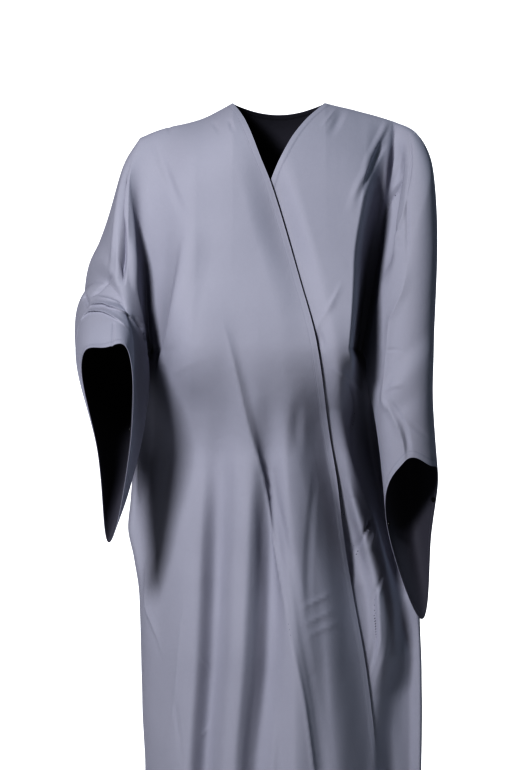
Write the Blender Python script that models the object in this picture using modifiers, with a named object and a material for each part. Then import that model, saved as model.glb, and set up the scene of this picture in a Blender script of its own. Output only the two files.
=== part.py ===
import math

import bpy
import mathutils
import numpy as np

# A worn abaya with a crossed front, V neck and wide pointed sleeves.
# Metres. The origin lies midway between the neck points, the front faces -Y
# and the wearer's left is +X. "Drop" is the distance below the neck points.

WALL = 0.0012  # cloth wall
SEAM_GAP = 0.0003  # left open between neighbouring pieces
LENGTH = 1.42  # neck points to hem
UNDERARM = 0.42  # drop where sleeves and side seams meet
NECK_HALF = 0.078  # half width of the neck opening on the shoulders
BACK_NECK_DIP = 0.014  # fall of the back neck at its middle
BACK_NECK_LEAD = 0.034  # sets the back neck behind the shoulder line
FRONT_ROUND = 0.15  # drop over which the front turns down from the shoulder
BACK_ROUND = 0.10  # the same for the back
ROUND_POWER = 0.75
LAP_GAP = 0.0115  # the left front lies this far behind the right front's edge
LAP_DEPTH = 0.024  # and this far behind it well inside the lap
LAP_REACH = 0.055  # distance from the edge to there
LAP_FOLDS = 0.35  # share of the folds kept there
RING_CORNERS = 6
BEND_ROOM = 0.0016  # set-back where a seam bends outward by a right angle
LEAST_SLANT = 0.35  # a slanting edge counts as at least this square to its seam
MOST_BEND = 2.0  # seam bends beyond this many radians are treated alike
ARMHOLE_CORE = 0.03  # how far below a seam point the armhole's inside is taken
RING_FULLNESS = 0.62  # tangent share that makes six ring corners an ellipse
LAP_EASE = 0.036  # width over which the left front comes up beside the lap
VALLEY_WIDTH = 0.45  # share of the half width given to the soft armhole valley
VALLEY_FADE = 0.20  # drop below the underarm over which that valley fades out
CALM_DROPS = (0.0, 0.14, 0.28, 0.52, 0.60, 0.72, 0.88, 1.02, 1.14, 1.42)
CALM_FROM = 0.70  # share of the half width from which the underarm's dip is felt

ROWS_ABOVE = 12  # rows from shoulder to underarm
ROWS_BELOW = 25  # rows from underarm to hem
RIGHT_COLUMNS = 27
LEFT_COLUMNS = 19
BACK_COLUMNS = 37
BACK_CROWDING = 0.07  # draws the back's columns towards its two front wings
SLEEVE_RINGS = 18

# Columns of the right front held to its main folds below the waist
RIGHT_GUIDES = [
    ("edge_valley", 4),
    ("middle_ridge", 9),
    ("inner_valley", 12),
    ("inner_ridge", 15),
    ("right_thigh_valley", 19),
    ("right_thigh_ridge", 22),
]
GUIDE_START = 0.42
GUIDE_RANGE = 0.20

# Columns of the back held to its folds, and the two at its outermost lines
BACK_GUIDES = [
    ("right_outer_ridge", 8),
    ("right_valley", 11),
    ("right_ridge", 14),
    ("middle_valley", 17),
    ("left_ridge", 20),
    ("left_valley", 23),
    ("left_outer_ridge", 26),
]
BACK_SIDE_COLUMNS = (5, 29)
LEAST_WINGS = (16.0, 26.0)  # least turn in degrees from there to the side seams
LEFT_LAP_COLUMNS = (5, 10)  # columns of the left front that follow the lap

SNAP_RADIUS = 0.0042
SNAP_HEIGHT = 0.0022
SNAP_EDGE = 0.0006
SNAP_INSET = 0.011  # snap middle to the cuff edge
SNAP_LIFT = 0.0006  # clear of the cloth
# Snap halves inside the cuffs: name, side, column of the sleeve
SNAPS = [
    ("snap_right_inner", -1, 7),
    ("snap_right_outer", -1, 16),
    ("snap_left_inner", 1, 12),
    ("snap_left_outer", 1, 21),
]

CLOTH_COLOUR = (0.30, 0.30, 0.40, 1.0)
SNAP_COLOUR = (0.012, 0.012, 0.015, 1.0)

# Body sections: drop, middle x, front reach, back reach, corner power
BODY = np.array([
    (0.000, -0.010, 0.082, 0.088, 2.2),
    (0.130, -0.015, 0.092, 0.106, 2.4),
    (0.250, -0.025, 0.116, 0.112, 2.5),
    (0.420, -0.030, 0.134, 0.112, 2.3),
    (0.600, -0.025, 0.138, 0.124, 2.1),
    (0.880, -0.010, 0.140, 0.142, 2.1),
    (1.140, 0.000, 0.146, 0.156, 2.1),
    (1.420, 0.008, 0.154, 0.166, 2.1),
])

# Outermost line of the body below the underarm, wearer's right: drop, x, y
RIGHT_SIDE = np.array([
    (0.420, -0.2157, 0.005),
    (0.436, -0.2225, 0.019),
    (0.465, -0.231, 0.038),
    (0.510, -0.238, 0.052),
    (0.600, -0.248, 0.056),
    (0.680, -0.255, 0.047),
    (0.720, -0.2585, 0.036),
    (0.775, -0.247, 0.020),
    (0.847, -0.237, 0.010),
    (1.018, -0.232, 0.010),
    (1.138, -0.227, 0.010),
    (1.420, -0.224, 0.010),
])

# Outermost line of the body below the underarm, wearer's left: drop, x, y
LEFT_SIDE = np.array([
    (0.420, 0.141, 0.005),
    (0.437, 0.149, 0.014),
    (0.471, 0.156, 0.030),
    (0.520, 0.165, 0.050),
    (0.600, 0.186, 0.068),
    (0.740, 0.225, 0.070),
    (0.880, 0.243, 0.056),
    (1.020, 0.246, 0.030),
    (1.138, 0.244, 0.018),
    (1.420, 0.243, 0.014),
])

# Side seams, x on the front face: drop, x
RIGHT_SEAM = np.array([
    (0.420, -0.2157),
    (0.436, -0.2223),
    (0.465, -0.230),
    (0.510, -0.236),
    (0.600, -0.241),
    (0.680, -0.238),
    (0.770, -0.228),
    (0.850, -0.228),
    (0.910, -0.206),
    (1.000, -0.179),
    (1.130, -0.204),
    (1.420, -0.198),
])
LEFT_SEAM = np.array([
    (0.420, 0.141),
    (0.437, 0.149),
    (0.471, 0.156),
    (0.520, 0.165),
    (0.600, 0.186),
    (0.700, 0.214),
    (0.780, 0.224),
    (0.861, 0.213),
    (0.918, 0.189),
    (0.986, 0.164),
    (1.130, 0.140),
    (1.420, 0.136),
])

# Front edges, the right one on top: drop, x
RIGHT_EDGE = np.array([
    (0.000, -0.078),
    (0.033, -0.057),
    (0.104, -0.029),
    (0.142, -0.014),
    (0.307, 0.034),
    (0.406, 0.060),
    (0.554, 0.083),
    (0.669, 0.108),
    (0.802, 0.130),
    (0.925, 0.149),
    (1.113, 0.165),
    (1.420, 0.188),
])
LEFT_EDGE = np.array([
    (0.000, 0.078),
    (0.033, 0.044),
    (0.069, 0.018),
    (0.142, -0.016),
    (0.307, -0.060),
    (0.554, -0.100),
    (0.802, -0.128),
    (1.420, -0.168),
])

# Shoulder seams: distance from the neck point, fall
RIGHT_SHOULDER = np.array([
    (0.000, 0.000),
    (0.022, -0.012),
    (0.058, -0.029),
    (0.126, -0.046),
    (0.158, -0.0595),
])
LEFT_SHOULDER = np.array([
    (0.000, 0.000),
    (0.048, -0.012),
    (0.112, -0.030),
    (0.150, -0.045),
])

# Soft folds of the front: name, path of (drop, x, height), reach to -X, reach to +X
FRONT_FOLDS = [
    ("right_side_hollow", [(0.16, -0.200, 0.0), (0.26, -0.198, -0.010), (0.35, -0.205, -0.018),
                           (0.43, -0.212, -0.028), (0.50, -0.214, -0.042), (0.60, -0.216, -0.046),
                           (0.70, -0.224, -0.022), (0.80, -0.230, 0.0)], 0.050, 0.038),
    ("right_arm_ridge", [(0.20, -0.146, 0.0), (0.275, -0.158, 0.004), (0.345, -0.173, 0.008),
                         (0.42, -0.187, 0.010), (0.50, -0.196, 0.007), (0.60, -0.198, 0.0)], 0.022, 0.045),
    ("right_thigh_ridge", [(0.50, -0.125, 0.0), (0.62, -0.133, 0.004), (0.74, -0.142, 0.010),
                           (0.93, -0.149, 0.012), (1.11, -0.157, 0.012), (1.42, -0.165, 0.012)], 0.060, 0.040),
    ("right_thigh_valley", [(0.50, -0.095, 0.0), (0.62, -0.098, -0.005), (0.74, -0.101, -0.010),
                            (0.93, -0.108, -0.011), (1.11, -0.121, -0.012), (1.42, -0.132, -0.012)], 0.035, 0.035),
    ("inner_ridge", [(0.48, -0.046, 0.0), (0.60, -0.049, 0.006), (0.74, -0.054, 0.016),
                     (0.93, -0.063, 0.018), (1.11, -0.077, 0.016), (1.42, -0.090, 0.015)], 0.045, 0.027),
    ("inner_valley", [(0.50, -0.019, 0.0), (0.62, -0.016, -0.010), (0.74, -0.014, -0.018),
                      (0.93, -0.019, -0.018), (1.11, -0.037, -0.015), (1.42, -0.055, -0.014)], 0.028, 0.030),
    ("middle_ridge", [(0.46, 0.012, 0.0), (0.60, 0.016, 0.008), (0.74, 0.025, 0.016),
                      (0.93, 0.029, 0.018), (1.11, 0.029, 0.016), (1.42, 0.030, 0.015)], 0.035, 0.050),
    ("edge_valley", [(0.38, 0.050, 0.0), (0.50, 0.060, -0.015), (0.59, 0.070, -0.028),
                     (0.69, 0.094, -0.040), (0.79, 0.114, -0.042), (0.93, 0.117, -0.036),
                     (1.11, 0.132, -0.032), (1.42, 0.150, -0.026)], 0.052, 0.026),
    ("left_diagonal_ridge", [(0.36, 0.085, 0.0), (0.54, 0.099, 0.012), (0.64, 0.116, 0.015),
                             (0.74, 0.150, 0.026), (0.80, 0.170, 0.030), (0.88, 0.183, 0.026),
                             (1.00, 0.175, 0.0)], 0.032, 0.032),
    ("left_side_hollow", [(0.43, 0.145, 0.0), (0.48, 0.152, -0.050), (0.56, 0.162, -0.085),
                          (0.66, 0.176, -0.088), (0.76, 0.202, -0.070), (0.86, 0.218, -0.030),
                          (0.94, 0.212, 0.0)], 0.055, 0.060),
    ("left_wing_hollow", [(0.84, 0.228, 0.0), (0.92, 0.210, -0.020), (1.00, 0.190, -0.034),
                          (1.13, 0.180, -0.036), (1.42, 0.190, -0.030)], 0.030, 0.055),
    ("breast_hollow", [(0.06, -0.030, 0.0), (0.14, -0.012, -0.010), (0.21, 0.005, -0.016),
                       (0.30, 0.032, -0.010), (0.42, 0.060, 0.0)], 0.055, 0.045),
]

# Soft folds of the back: the same columns
BACK_FOLDS = [
    ("right_outer_ridge", [(0.42, -0.150, 0.0), (0.70, -0.165, 0.008), (1.42, -0.172, 0.013)], 0.045, 0.040),
    ("right_valley", [(0.34, -0.095, 0.0), (0.66, -0.112, -0.010), (1.42, -0.122, -0.015)], 0.038, 0.040),
    ("right_ridge", [(0.50, -0.050, 0.0), (0.82, -0.062, 0.009), (1.42, -0.068, 0.013)], 0.036, 0.032),
    ("middle_valley", [(0.22, 0.002, 0.0), (0.60, -0.008, -0.009), (1.42, -0.018, -0.015)], 0.046, 0.040),
    ("left_ridge", [(0.44, 0.045, 0.0), (0.78, 0.040, 0.010), (1.42, 0.036, 0.014)], 0.034, 0.042),
    ("left_valley", [(0.30, 0.085, 0.0), (0.70, 0.100, -0.011), (1.42, 0.098, -0.015)], 0.042, 0.038),
    ("left_outer_ridge", [(0.48, 0.120, 0.0), (0.80, 0.150, 0.008), (1.42, 0.158, 0.012)], 0.040, 0.045),
]

# Sleeve rings from armhole to cuff. Each has six corners (x, y, drop): over
# the arm, front high, front low, under the arm, back low, back high
RIGHT_RINGS = [
    ("armhole", (-0.236, 0.000, 0.0595), (-0.236, -0.048, 0.170), (-0.226, -0.042, 0.300),
     (-0.2157, 0.005, 0.420), (-0.222, 0.062, 0.300), (-0.232, 0.055, 0.160)),
    ("cap", (-0.262, 0.000, 0.104), (-0.256, -0.082, 0.196), (-0.232, -0.084, 0.332),
     (-0.228, -0.010, 0.470), (-0.240, 0.076, 0.330), (-0.258, 0.076, 0.190)),
    ("upper_arm", (-0.292, 0.004, 0.200), (-0.270, -0.096, 0.264), (-0.222, -0.096, 0.384),
     (-0.224, -0.030, 0.505), (-0.262, 0.070, 0.392), (-0.296, 0.080, 0.280)),
    ("elbow", (-0.318, -0.004, 0.288), (-0.266, -0.110, 0.318), (-0.226, -0.110, 0.420),
     (-0.229, -0.056, 0.550), (-0.286, 0.040, 0.472), (-0.332, 0.058, 0.368)),
    ("below_elbow", (-0.317, -0.056, 0.327), (-0.258, -0.124, 0.350), (-0.238, -0.138, 0.460),
     (-0.236, -0.092, 0.602), (-0.300, -0.030, 0.512), (-0.344, -0.014, 0.398)),
    ("forearm", (-0.304, -0.130, 0.362), (-0.246, -0.160, 0.384), (-0.240, -0.166, 0.520),
     (-0.254, -0.134, 0.668), (-0.306, -0.110, 0.548), (-0.338, -0.104, 0.420)),
    ("cuff", (-0.281, -0.222, 0.419), (-0.2415, -0.214, 0.434), (-0.2430, -0.196, 0.584),
     (-0.2780, -0.172, 0.736), (-0.2960, -0.178, 0.590), (-0.3210, -0.206, 0.444)),
]
LEFT_RINGS = [
    ("armhole", (0.191, 0.000, 0.030), (0.173, -0.020, 0.130), (0.153, -0.006, 0.290),
     (0.141, 0.005, 0.420), (0.156, 0.040, 0.290), (0.178, 0.050, 0.130)),
    ("cap", (0.229, 0.000, 0.048), (0.214, -0.070, 0.130), (0.176, -0.064, 0.290),
     (0.147, -0.012, 0.438), (0.184, 0.060, 0.296), (0.224, 0.066, 0.134)),
    ("upper_arm", (0.257, 0.000, 0.106), (0.236, -0.086, 0.168), (0.184, -0.082, 0.330),
     (0.148, -0.014, 0.464), (0.196, 0.064, 0.350), (0.244, 0.070, 0.196)),
    ("elbow", (0.267, -0.002, 0.226), (0.240, -0.092, 0.268), (0.186, -0.090, 0.388),
     (0.152, -0.020, 0.494), (0.200, 0.056, 0.412), (0.244, 0.062, 0.300)),
    ("forearm", (0.263, -0.006, 0.352), (0.236, -0.094, 0.376), (0.186, -0.092, 0.460),
     (0.160, -0.026, 0.530), (0.200, 0.044, 0.496), (0.240, 0.050, 0.430)),
    ("wrist", (0.258, -0.010, 0.490), (0.234, -0.094, 0.490), (0.190, -0.090, 0.538),
     (0.170, -0.032, 0.600), (0.206, 0.034, 0.640), (0.240, 0.040, 0.600)),
    ("cuff", (0.2695, -0.020, 0.634), (0.2460, -0.076, 0.612), (0.2075, -0.088, 0.608),
     (0.1790, -0.040, 0.700), (0.2410, -0.014, 0.876), (0.2600, 0.000, 0.730)),
]

# Soft folds of a sleeve: name, ends as (along, turn), height, reach along
RIGHT_SLEEVE_FOLDS = [
    ("elbow_roll_upper", (0.43, -0.9), (0.50, 2.4), 0.007, 0.080),
    ("elbow_roll_lower", (0.61, -1.0), (0.66, 2.2), 0.005, 0.070),
]
LEFT_SLEEVE_FOLDS = [
    ("wrist_roll", (0.80, 0.2), (0.72, 2.6), 0.006, 0.090),
]


def ease(keys, values, at, level_start=False):
    # Smooth curve through the values that never overshoots them
    keys = np.asarray(keys, float)
    values = np.asarray(values, float)
    step = np.diff(keys)
    rise = np.diff(values) / step
    tangent = np.zeros(len(keys))
    before, after = rise[:-1], rise[1:]
    same = before * after > 0
    tangent[1:-1][same] = 2 * before[same] * after[same] / (before[same] + after[same])
    tangent[0], tangent[-1] = 0.0 if level_start else rise[0], rise[-1]
    at = np.clip(at, keys[0], keys[-1])
    i = np.clip(np.searchsorted(keys, at, side="right") - 1, 0, len(step) - 1)
    t = (at - keys[i]) / step[i]
    start = (1 + 2 * t) * (1 - t) ** 2 * values[i] + t * (1 - t) ** 2 * step[i] * tangent[i]
    end = t * t * (3 - 2 * t) * values[i + 1] + t * t * (t - 1) * step[i] * tangent[i + 1]
    return start + end


def column(table, index, at):
    return ease(table[:, 0], table[:, index], at)


def smooth(t):
    t = np.clip(t, 0.0, 1.0)
    return t * t * (3 - 2 * t)


def fold_height(folds, x, drop):
    # Sum of the soft folds at one place, positive away from the body
    total = 0.0
    for _, path, reach_right, reach_left in folds:
        path = np.array(path)
        if not path[0, 0] < drop <= path[-1, 0] + 1e-6:
            continue
        height = ease(path[:, 0], path[:, 2], drop)
        offset = x - ease(path[:, 0], path[:, 1], drop)
        offset /= reach_left if offset > 0 else reach_right
        if abs(offset) < 1:
            total += height * math.cos(offset * math.pi / 2) ** 2
    return total


def ring_point(corners, turn):
    # Closed curve through the ring corners, one whole turn per corner
    turn %= RING_CORNERS
    i = int(turn)
    t = turn - i
    here, there = corners[i], corners[(i + 1) % RING_CORNERS]
    leave = RING_FULLNESS * (there - corners[i - 1])
    arrive = RING_FULLNESS * (corners[(i + 2) % RING_CORNERS] - here)
    start = (1 + 2 * t) * (1 - t) ** 2 * here + t * (1 - t) ** 2 * leave
    end = t * t * (3 - 2 * t) * there + t * t * (t - 1) * arrive
    return start + end


def ring_at(rings, along):
    # Corners of the ring at a share of the way to the cuff
    keys = np.linspace(0.0, 1.0, len(rings))
    corners = []
    for corner in range(1, RING_CORNERS + 1):
        track = np.array([ring[corner] for ring in rings])
        eased = [ease(keys, track[:, axis], along, level_start=axis == 1) for axis in range(3)]
        corners.append(np.array(eased))
    return corners


def sleeve_fold(folds, along, turn):
    # Height of the soft folds at one place on a sleeve
    total = 0.0
    for _, start, stop, height, reach in folds:
        place = (turn - start[1]) % RING_CORNERS / (stop[1] - start[1])
        if place > 1:
            continue
        offset = (along - start[0] - (stop[0] - start[0]) * place) / reach
        if abs(offset) < 1:
            total += height * math.sin(place * math.pi) * math.cos(offset * math.pi / 2) ** 2
    return total


def sleeve_point(side, along, turn):
    # Point of a sleeve; along runs 0 at the armhole to 1 at the cuff
    corners = ring_at(LEFT_RINGS if side > 0 else RIGHT_RINGS, along)
    place = ring_point(corners, turn)
    height = sleeve_fold(LEFT_SLEEVE_FOLDS if side > 0 else RIGHT_SLEEVE_FOLDS, along, turn)
    if height:
        out = place - sum(corners) / RING_CORNERS
        place = place + out / np.linalg.norm(out) * height
    x, y, drop = place
    return np.array([x, y, -drop])


def shoulder_fall(x, back):
    # Height of the shoulder line, or of the back neck between the neck points
    if abs(x) <= NECK_HALF:
        return -BACK_NECK_DIP * (1 - (x / NECK_HALF) ** 2) if back else 0.0
    table = LEFT_SHOULDER if x > 0 else RIGHT_SHOULDER
    return float(column(table, 1, abs(x) - NECK_HALF))


def lean(drop):
    # Share of the shoulder slope kept by a row
    return 1 - smooth(drop / UNDERARM)


def armhole(side, back):
    # Row drops and points down one side of an armhole
    half = RING_CORNERS / 2
    turns = np.linspace(RING_CORNERS, half, 81) if back else np.linspace(0.0, half, 81)
    points = np.array([sleeve_point(side, 0.0, turn) for turn in turns])
    drops = []
    for x, _, z in points:
        trial = np.linspace(0.0, UNDERARM, 200)
        height = -trial + shoulder_fall(x, back) * lean(trial)
        drops.append(float(np.interp(-z, -height, trial)))
    drops[0], drops[-1] = 0.0, UNDERARM
    return np.array(drops), turns, points


ARMHOLES = {(side, back): armhole(side, back) for side in (-1, 1) for back in (False, True)}


def side_point(side, back, drop):
    # Outermost x and y of the body at a row
    if drop < UNDERARM:
        drops, _, points = ARMHOLES[side, back]
        return np.interp(drop, drops, points[:, 0]), np.interp(drop, drops, points[:, 1])
    table = LEFT_SIDE if side > 0 else RIGHT_SIDE
    return float(column(table, 1, drop)), float(column(table, 2, drop))


def calm_line(side, back):
    # Depth of the body's side line without its sharp dip at the underarm
    return [side_point(side, back, drop)[1] for drop in CALM_DROPS]


CALM_LINES = {(side, back): calm_line(side, back) for side in (-1, 1) for back in (False, True)}


def armhole_softness(side, drop):
    # 1 where the body runs into the sleeve through a soft valley
    top, low = (1.0, 0.35) if side < 0 else (0.75, 0.0)
    drops = (0.0, 0.10, UNDERARM, UNDERARM + VALLEY_FADE)
    return float(ease(drops, (top, top, low, 0.0), drop))


def body_point(drop, angle, under_lap=False):
    # Point of the body; angle is 0 at the front middle, +-90 at the sides
    # and 180 at the back middle, positive to the wearer's left
    side = 1 if angle >= 0 else -1
    back = abs(angle) > 90
    middle = float(column(BODY, 1, drop))
    power = float(column(BODY, 4, drop))
    side_x, side_y = side_point(side, back, drop)
    turn = math.radians(abs(angle))
    calm = float(ease(CALM_DROPS, CALM_LINES[side, back], drop))
    side_y = calm + (side_y - calm) * float(smooth((math.sin(turn) - CALM_FROM) / (1 - CALM_FROM)))
    x = middle + (side_x - middle) * math.sin(turn)
    z = -drop + shoulder_fall(x, back) * float(lean(drop))
    share = abs(math.cos(turn)) ** (2 / power)
    soft = armhole_softness(side, drop)
    share += (float(smooth((1 - math.sin(turn)) / VALLEY_WIDTH)) - share) * soft
    below = max(shoulder_fall(x, back) - z, 0.0)
    if back:
        if abs(x) < NECK_HALF:
            below += BACK_NECK_LEAD * (1 - (x / NECK_HALF) ** 2)
        reach = float(column(BODY, 3, drop))
        rounding = math.sin(min(below / BACK_ROUND, 1.0) * math.pi / 2) ** ROUND_POWER
        y = side_y + (reach - side_y) * share * rounding
        y += fold_height(BACK_FOLDS, x, drop) * smooth(share * 1.6)
    else:
        reach = float(column(BODY, 2, drop))
        rounding = math.sin(min(below / FRONT_ROUND, 1.0) * math.pi / 2) ** ROUND_POWER
        y = side_y - (reach + side_y) * share * rounding
        folds = fold_height(FRONT_FOLDS, x, drop) * float(smooth(share * 1.6))
        if under_lap:
            beside = x - float(column(RIGHT_EDGE, 1, drop))
            deep = float(smooth(-beside / LAP_REACH))
            folds *= 1 + (LAP_FOLDS - 1) * deep
            gap = LAP_GAP * float(smooth(1 - beside / LAP_EASE)) + (LAP_DEPTH - LAP_GAP) * deep
            y += gap * float(smooth(drop / 0.08))
        y -= folds
    return np.array([x, y, z])


def angle_of(x, drop):
    # Angle on the front face where the body has this x
    middle = float(column(BODY, 1, drop))
    side = 1 if x > middle else -1
    side_x, _ = side_point(side, False, drop)
    return side * math.degrees(math.asin(min(1.0, (x - middle) / (side_x - middle))))


def seam_angle(side, drop):
    if drop <= UNDERARM:
        return 90.0 * side
    table = LEFT_SEAM if side > 0 else RIGHT_SEAM
    return angle_of(float(column(table, 1, drop)), drop)


def row_drops():
    above = UNDERARM * np.linspace(0.0, 1.0, ROWS_ABOVE + 1) ** 1.15
    below = np.linspace(UNDERARM, LENGTH, ROWS_BELOW + 1)
    return np.concatenate([above, below[1:]])


def even_widths(turns, drop, back):
    # Turns of a row above the underarm, drawn towards equal widths at the shoulder
    sines = np.sin(np.radians(turns))
    sines += (np.linspace(sines[0], sines[-1], len(sines)) - sines) * lean(drop)
    angles = np.degrees(np.arcsin(np.clip(sines, -1, 1)))
    return 180 - angles if back else angles


def fold_x(folds, name, drop):
    path = next(np.array(fold[1]) for fold in folds if fold[0] == name)
    return float(ease(path[:, 0], path[:, 1], drop))


def guided_columns(side, drop, columns):
    # Column angles: even turns above, then held to the main folds below the waist
    edge = RIGHT_EDGE if side < 0 else LEFT_EDGE
    start = float(column(edge, 1, drop))
    even = np.linspace(angle_of(start, drop), seam_angle(side, drop), columns + 1)
    if drop < UNDERARM:
        even = even_widths(even, drop, back=False)
    if side < 0:
        seam = float(column(RIGHT_SEAM, 1, max(drop, UNDERARM)))
        places = [start] + [fold_x(FRONT_FOLDS, name, drop) for name, _ in RIGHT_GUIDES] + [seam]
        marks = [0] + [mark for _, mark in RIGHT_GUIDES] + [columns]
        held = float(smooth((drop - GUIDE_START) / GUIDE_RANGE))
    else:
        seam = float(column(LEFT_SEAM, 1, max(drop, UNDERARM)))
        lap = float(column(RIGHT_EDGE, 1, drop))
        lap = min(lap, start + (seam - start) * 0.8)
        places = [start, lap - LAP_REACH * min(1.0, (lap - start) / LAP_REACH / 2), lap, seam]
        marks = [0, LEFT_LAP_COLUMNS[0], LEFT_LAP_COLUMNS[1], columns]
        held = float(smooth((drop - 0.15) / 0.15))
    if held == 0:
        return even
    guided = [angle_of(x, drop) for x in np.interp(np.arange(columns + 1), marks, places)]
    guided[-1] = even[-1]
    return even + (np.array(guided) - even) * held


def front_grid(side, columns):
    # Rows from shoulder to hem, columns from the front edge to the side
    return np.array([
        [body_point(drop, angle, under_lap=side > 0) for angle in guided_columns(side, drop, columns)]
        for drop in row_drops()
    ])


def back_grid(columns):
    # Rows from neck and shoulders to hem, columns from the right side to the left
    grid = []
    for drop in row_drops():
        start, stop = seam_angle(-1, drop) + 360, seam_angle(1, drop)
        share = np.linspace(0.0, 1.0, columns + 1)
        turns = start + (stop - start) * (share - BACK_CROWDING * np.sin(2 * math.pi * share))
        if drop < UNDERARM:
            turns = even_widths(turns, drop, back=True)
        marks, places = [0, BACK_SIDE_COLUMNS[0]], [start, min(270.0, start - LEAST_WINGS[0])]
        for name, mark in BACK_GUIDES:
            marks.append(mark)
            places.append(180 - angle_of(fold_x(BACK_FOLDS, name, drop), drop))
        marks += [BACK_SIDE_COLUMNS[1], columns]
        places += [max(90.0, stop + LEAST_WINGS[1]), stop]
        held = float(smooth((drop - GUIDE_START) / GUIDE_RANGE))
        turns = turns + (np.interp(np.arange(columns + 1), marks, places) - turns) * held
        turns = np.where(turns > 180, turns - 360, turns)
        grid.append([body_point(drop, turn, under_lap=turn > 0) for turn in turns])
    return np.array(grid)


def sleeve_grid(side):
    # Rings along the sleeve; the first one meets the body rows one for one
    rows = row_drops()[: ROWS_ABOVE + 1]
    front, back = ARMHOLES[side, False], ARMHOLES[side, True]
    down = np.interp(rows, front[0], front[1])
    up = np.interp(rows, back[0], back[1])[::-1]
    turns = np.concatenate([down, up[1:-1]])
    even = np.linspace(0, RING_CORNERS, 2 * len(rows) - 1)[:-1]
    grid = []
    for along in np.linspace(0.0, 1.0, SLEEVE_RINGS + 1):
        blend = smooth(along * 3)
        grid.append([sleeve_point(side, along, a + (b - a) * blend) for a, b in zip(turns, even)])
    return np.array(grid)


def unit(rows):
    return rows / np.linalg.norm(rows, axis=-1, keepdims=True)


def pull_in(line, own, other=None, inside=None):
    # Moves an edge back from its seam towards its own piece, and further where
    # a bend that points outward would push the two walls into each other
    along = unit(np.gradient(line, axis=0))
    own_way = unit(own - line)
    across = own_way - (own_way * along).sum(axis=1, keepdims=True) * along
    slant = np.maximum(np.linalg.norm(across, axis=1), LEAST_SLANT)
    room = np.full(len(line), SEAM_GAP / 2)
    if other is not None:
        across = unit(across)
        beyond = other - line
        beyond = unit(beyond - (beyond * along).sum(axis=1, keepdims=True) * along)
        bend = np.arccos(np.clip(-(across * beyond).sum(axis=1), -1, 1))
        outward = ((across + beyond) * (inside - line)).sum(axis=1) > 0
        room += np.where(outward, BEND_ROOM * np.tan(np.minimum(bend, MOST_BEND) / 2), 0.0)
    return line + own_way * (room / slant)[:, None]


def join_side_seam(front, rear, rear_column, next_column):
    # Sets the two pieces of a side seam apart, row for row below the underarm
    low = slice(ROWS_ABOVE, None)
    line = front[low, -1].copy()
    inside = line * (0, 0, 1)
    own, other = front[low, -2].copy(), rear[low, next_column].copy()
    front[low, -1] = pull_in(line, own, other, inside)
    rear[low, rear_column] = pull_in(line, other, own, inside)


def join_armhole(tube, front, rear, rear_column, next_column):
    # Sets the first sleeve ring and the armhole edges of the body apart
    turn = len(tube[0])
    ring, inner_ring = tube[0].copy(), tube[1].copy()
    inside = ring * (1, 0, 1) + (0, 0, -ARMHOLE_CORE)
    down = np.arange(ROWS_ABOVE + 1)
    up = (turn - down) % turn
    body = np.zeros_like(ring)
    body[up] = rear[down, next_column]
    body[down] = front[down, -2]
    tube[0] = pull_in(ring, inner_ring, body, inside)
    front[down, -1] = pull_in(ring[down], front[down, -2], inner_ring[down], inside[down])
    rear[down, rear_column] = pull_in(ring[up], rear[down, next_column], inner_ring[up], inside[up])


def material(name, colour, roughness):
    made = bpy.data.materials.new(name)
    made.use_nodes = True
    shader = made.node_tree.nodes["Principled BSDF"]
    shader.inputs["Base Color"].default_value = colour
    shader.inputs["Roughness"].default_value = roughness
    shader.inputs["Metallic"].default_value = 0.0
    made.diffuse_color = colour
    return made


def mesh_object(name, points, faces, slot, collection):
    mesh = bpy.data.meshes.new(name)
    mesh.from_pydata([tuple(p) for p in points], [], faces)
    mesh.materials.append(slot)
    mesh.shade_smooth()
    made = bpy.data.objects.new(name, mesh)
    collection.objects.link(made)
    return made


def cloth(name, grid, closed, flip, slot, collection):
    # Open sheet with a wall added towards the wearer
    rows, columns = grid.shape[:2]
    faces = []
    for r in range(rows - 1):
        for c in range(columns if closed else columns - 1):
            d = (c + 1) % columns
            face = (r * columns + c, (r + 1) * columns + c, (r + 1) * columns + d, r * columns + d)
            faces.append(face[::-1] if flip else face)
    made = mesh_object(name, grid.reshape(-1, 3), faces, slot, collection)
    halves = made.modifiers.new("halves", "TRIANGULATE")
    halves.quad_method = "SHORTEST_DIAGONAL"
    wall = made.modifiers.new("wall", "SOLIDIFY")
    wall.thickness = WALL
    wall.offset = -1.0
    wall.use_even_offset = True
    wall.use_quality_normals = True
    return made


def snap(name, tube, middle, slot, collection):
    # Small round press stud lying inside the cuff, on the flat of one facet
    near, far = tube[-1, middle:middle + 2], tube[-2, middle:middle + 2]
    edge, behind = near.mean(axis=0), far.mean(axis=0)
    way = (behind - edge) / np.linalg.norm(behind - edge)
    inward = np.cross(near[1] - near[0], way)
    inward /= np.linalg.norm(inward)
    if inward @ (tube[-1].mean(axis=0) - edge) < 0:
        inward = -inward
    bpy.ops.mesh.primitive_cylinder_add(vertices=16, radius=SNAP_RADIUS, depth=SNAP_HEIGHT)
    made = bpy.context.object
    made.name = name
    made.data.name = name
    made.location = edge + way * SNAP_INSET + inward * (WALL + SNAP_LIFT + SNAP_HEIGHT / 2)
    made.rotation_euler = mathutils.Vector(inward).to_track_quat("Z", "Y").to_euler()
    bevel = made.modifiers.new("edge", "BEVEL")
    bevel.width = SNAP_EDGE
    bevel.segments = 2
    made.data.materials.append(slot)
    made.data.shade_smooth()
    for other in list(made.users_collection):
        other.objects.unlink(made)
    collection.objects.link(made)
    return made


for old in list(bpy.data.objects):
    bpy.data.objects.remove(old, do_unlink=True)
home = bpy.data.collections.new("crossed_abaya")
bpy.context.scene.collection.children.link(home)
cloth_slot = material("crepe_slate", CLOTH_COLOUR, 0.62)
snap_slot = material("snap_black", SNAP_COLOUR, 0.38)

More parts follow.
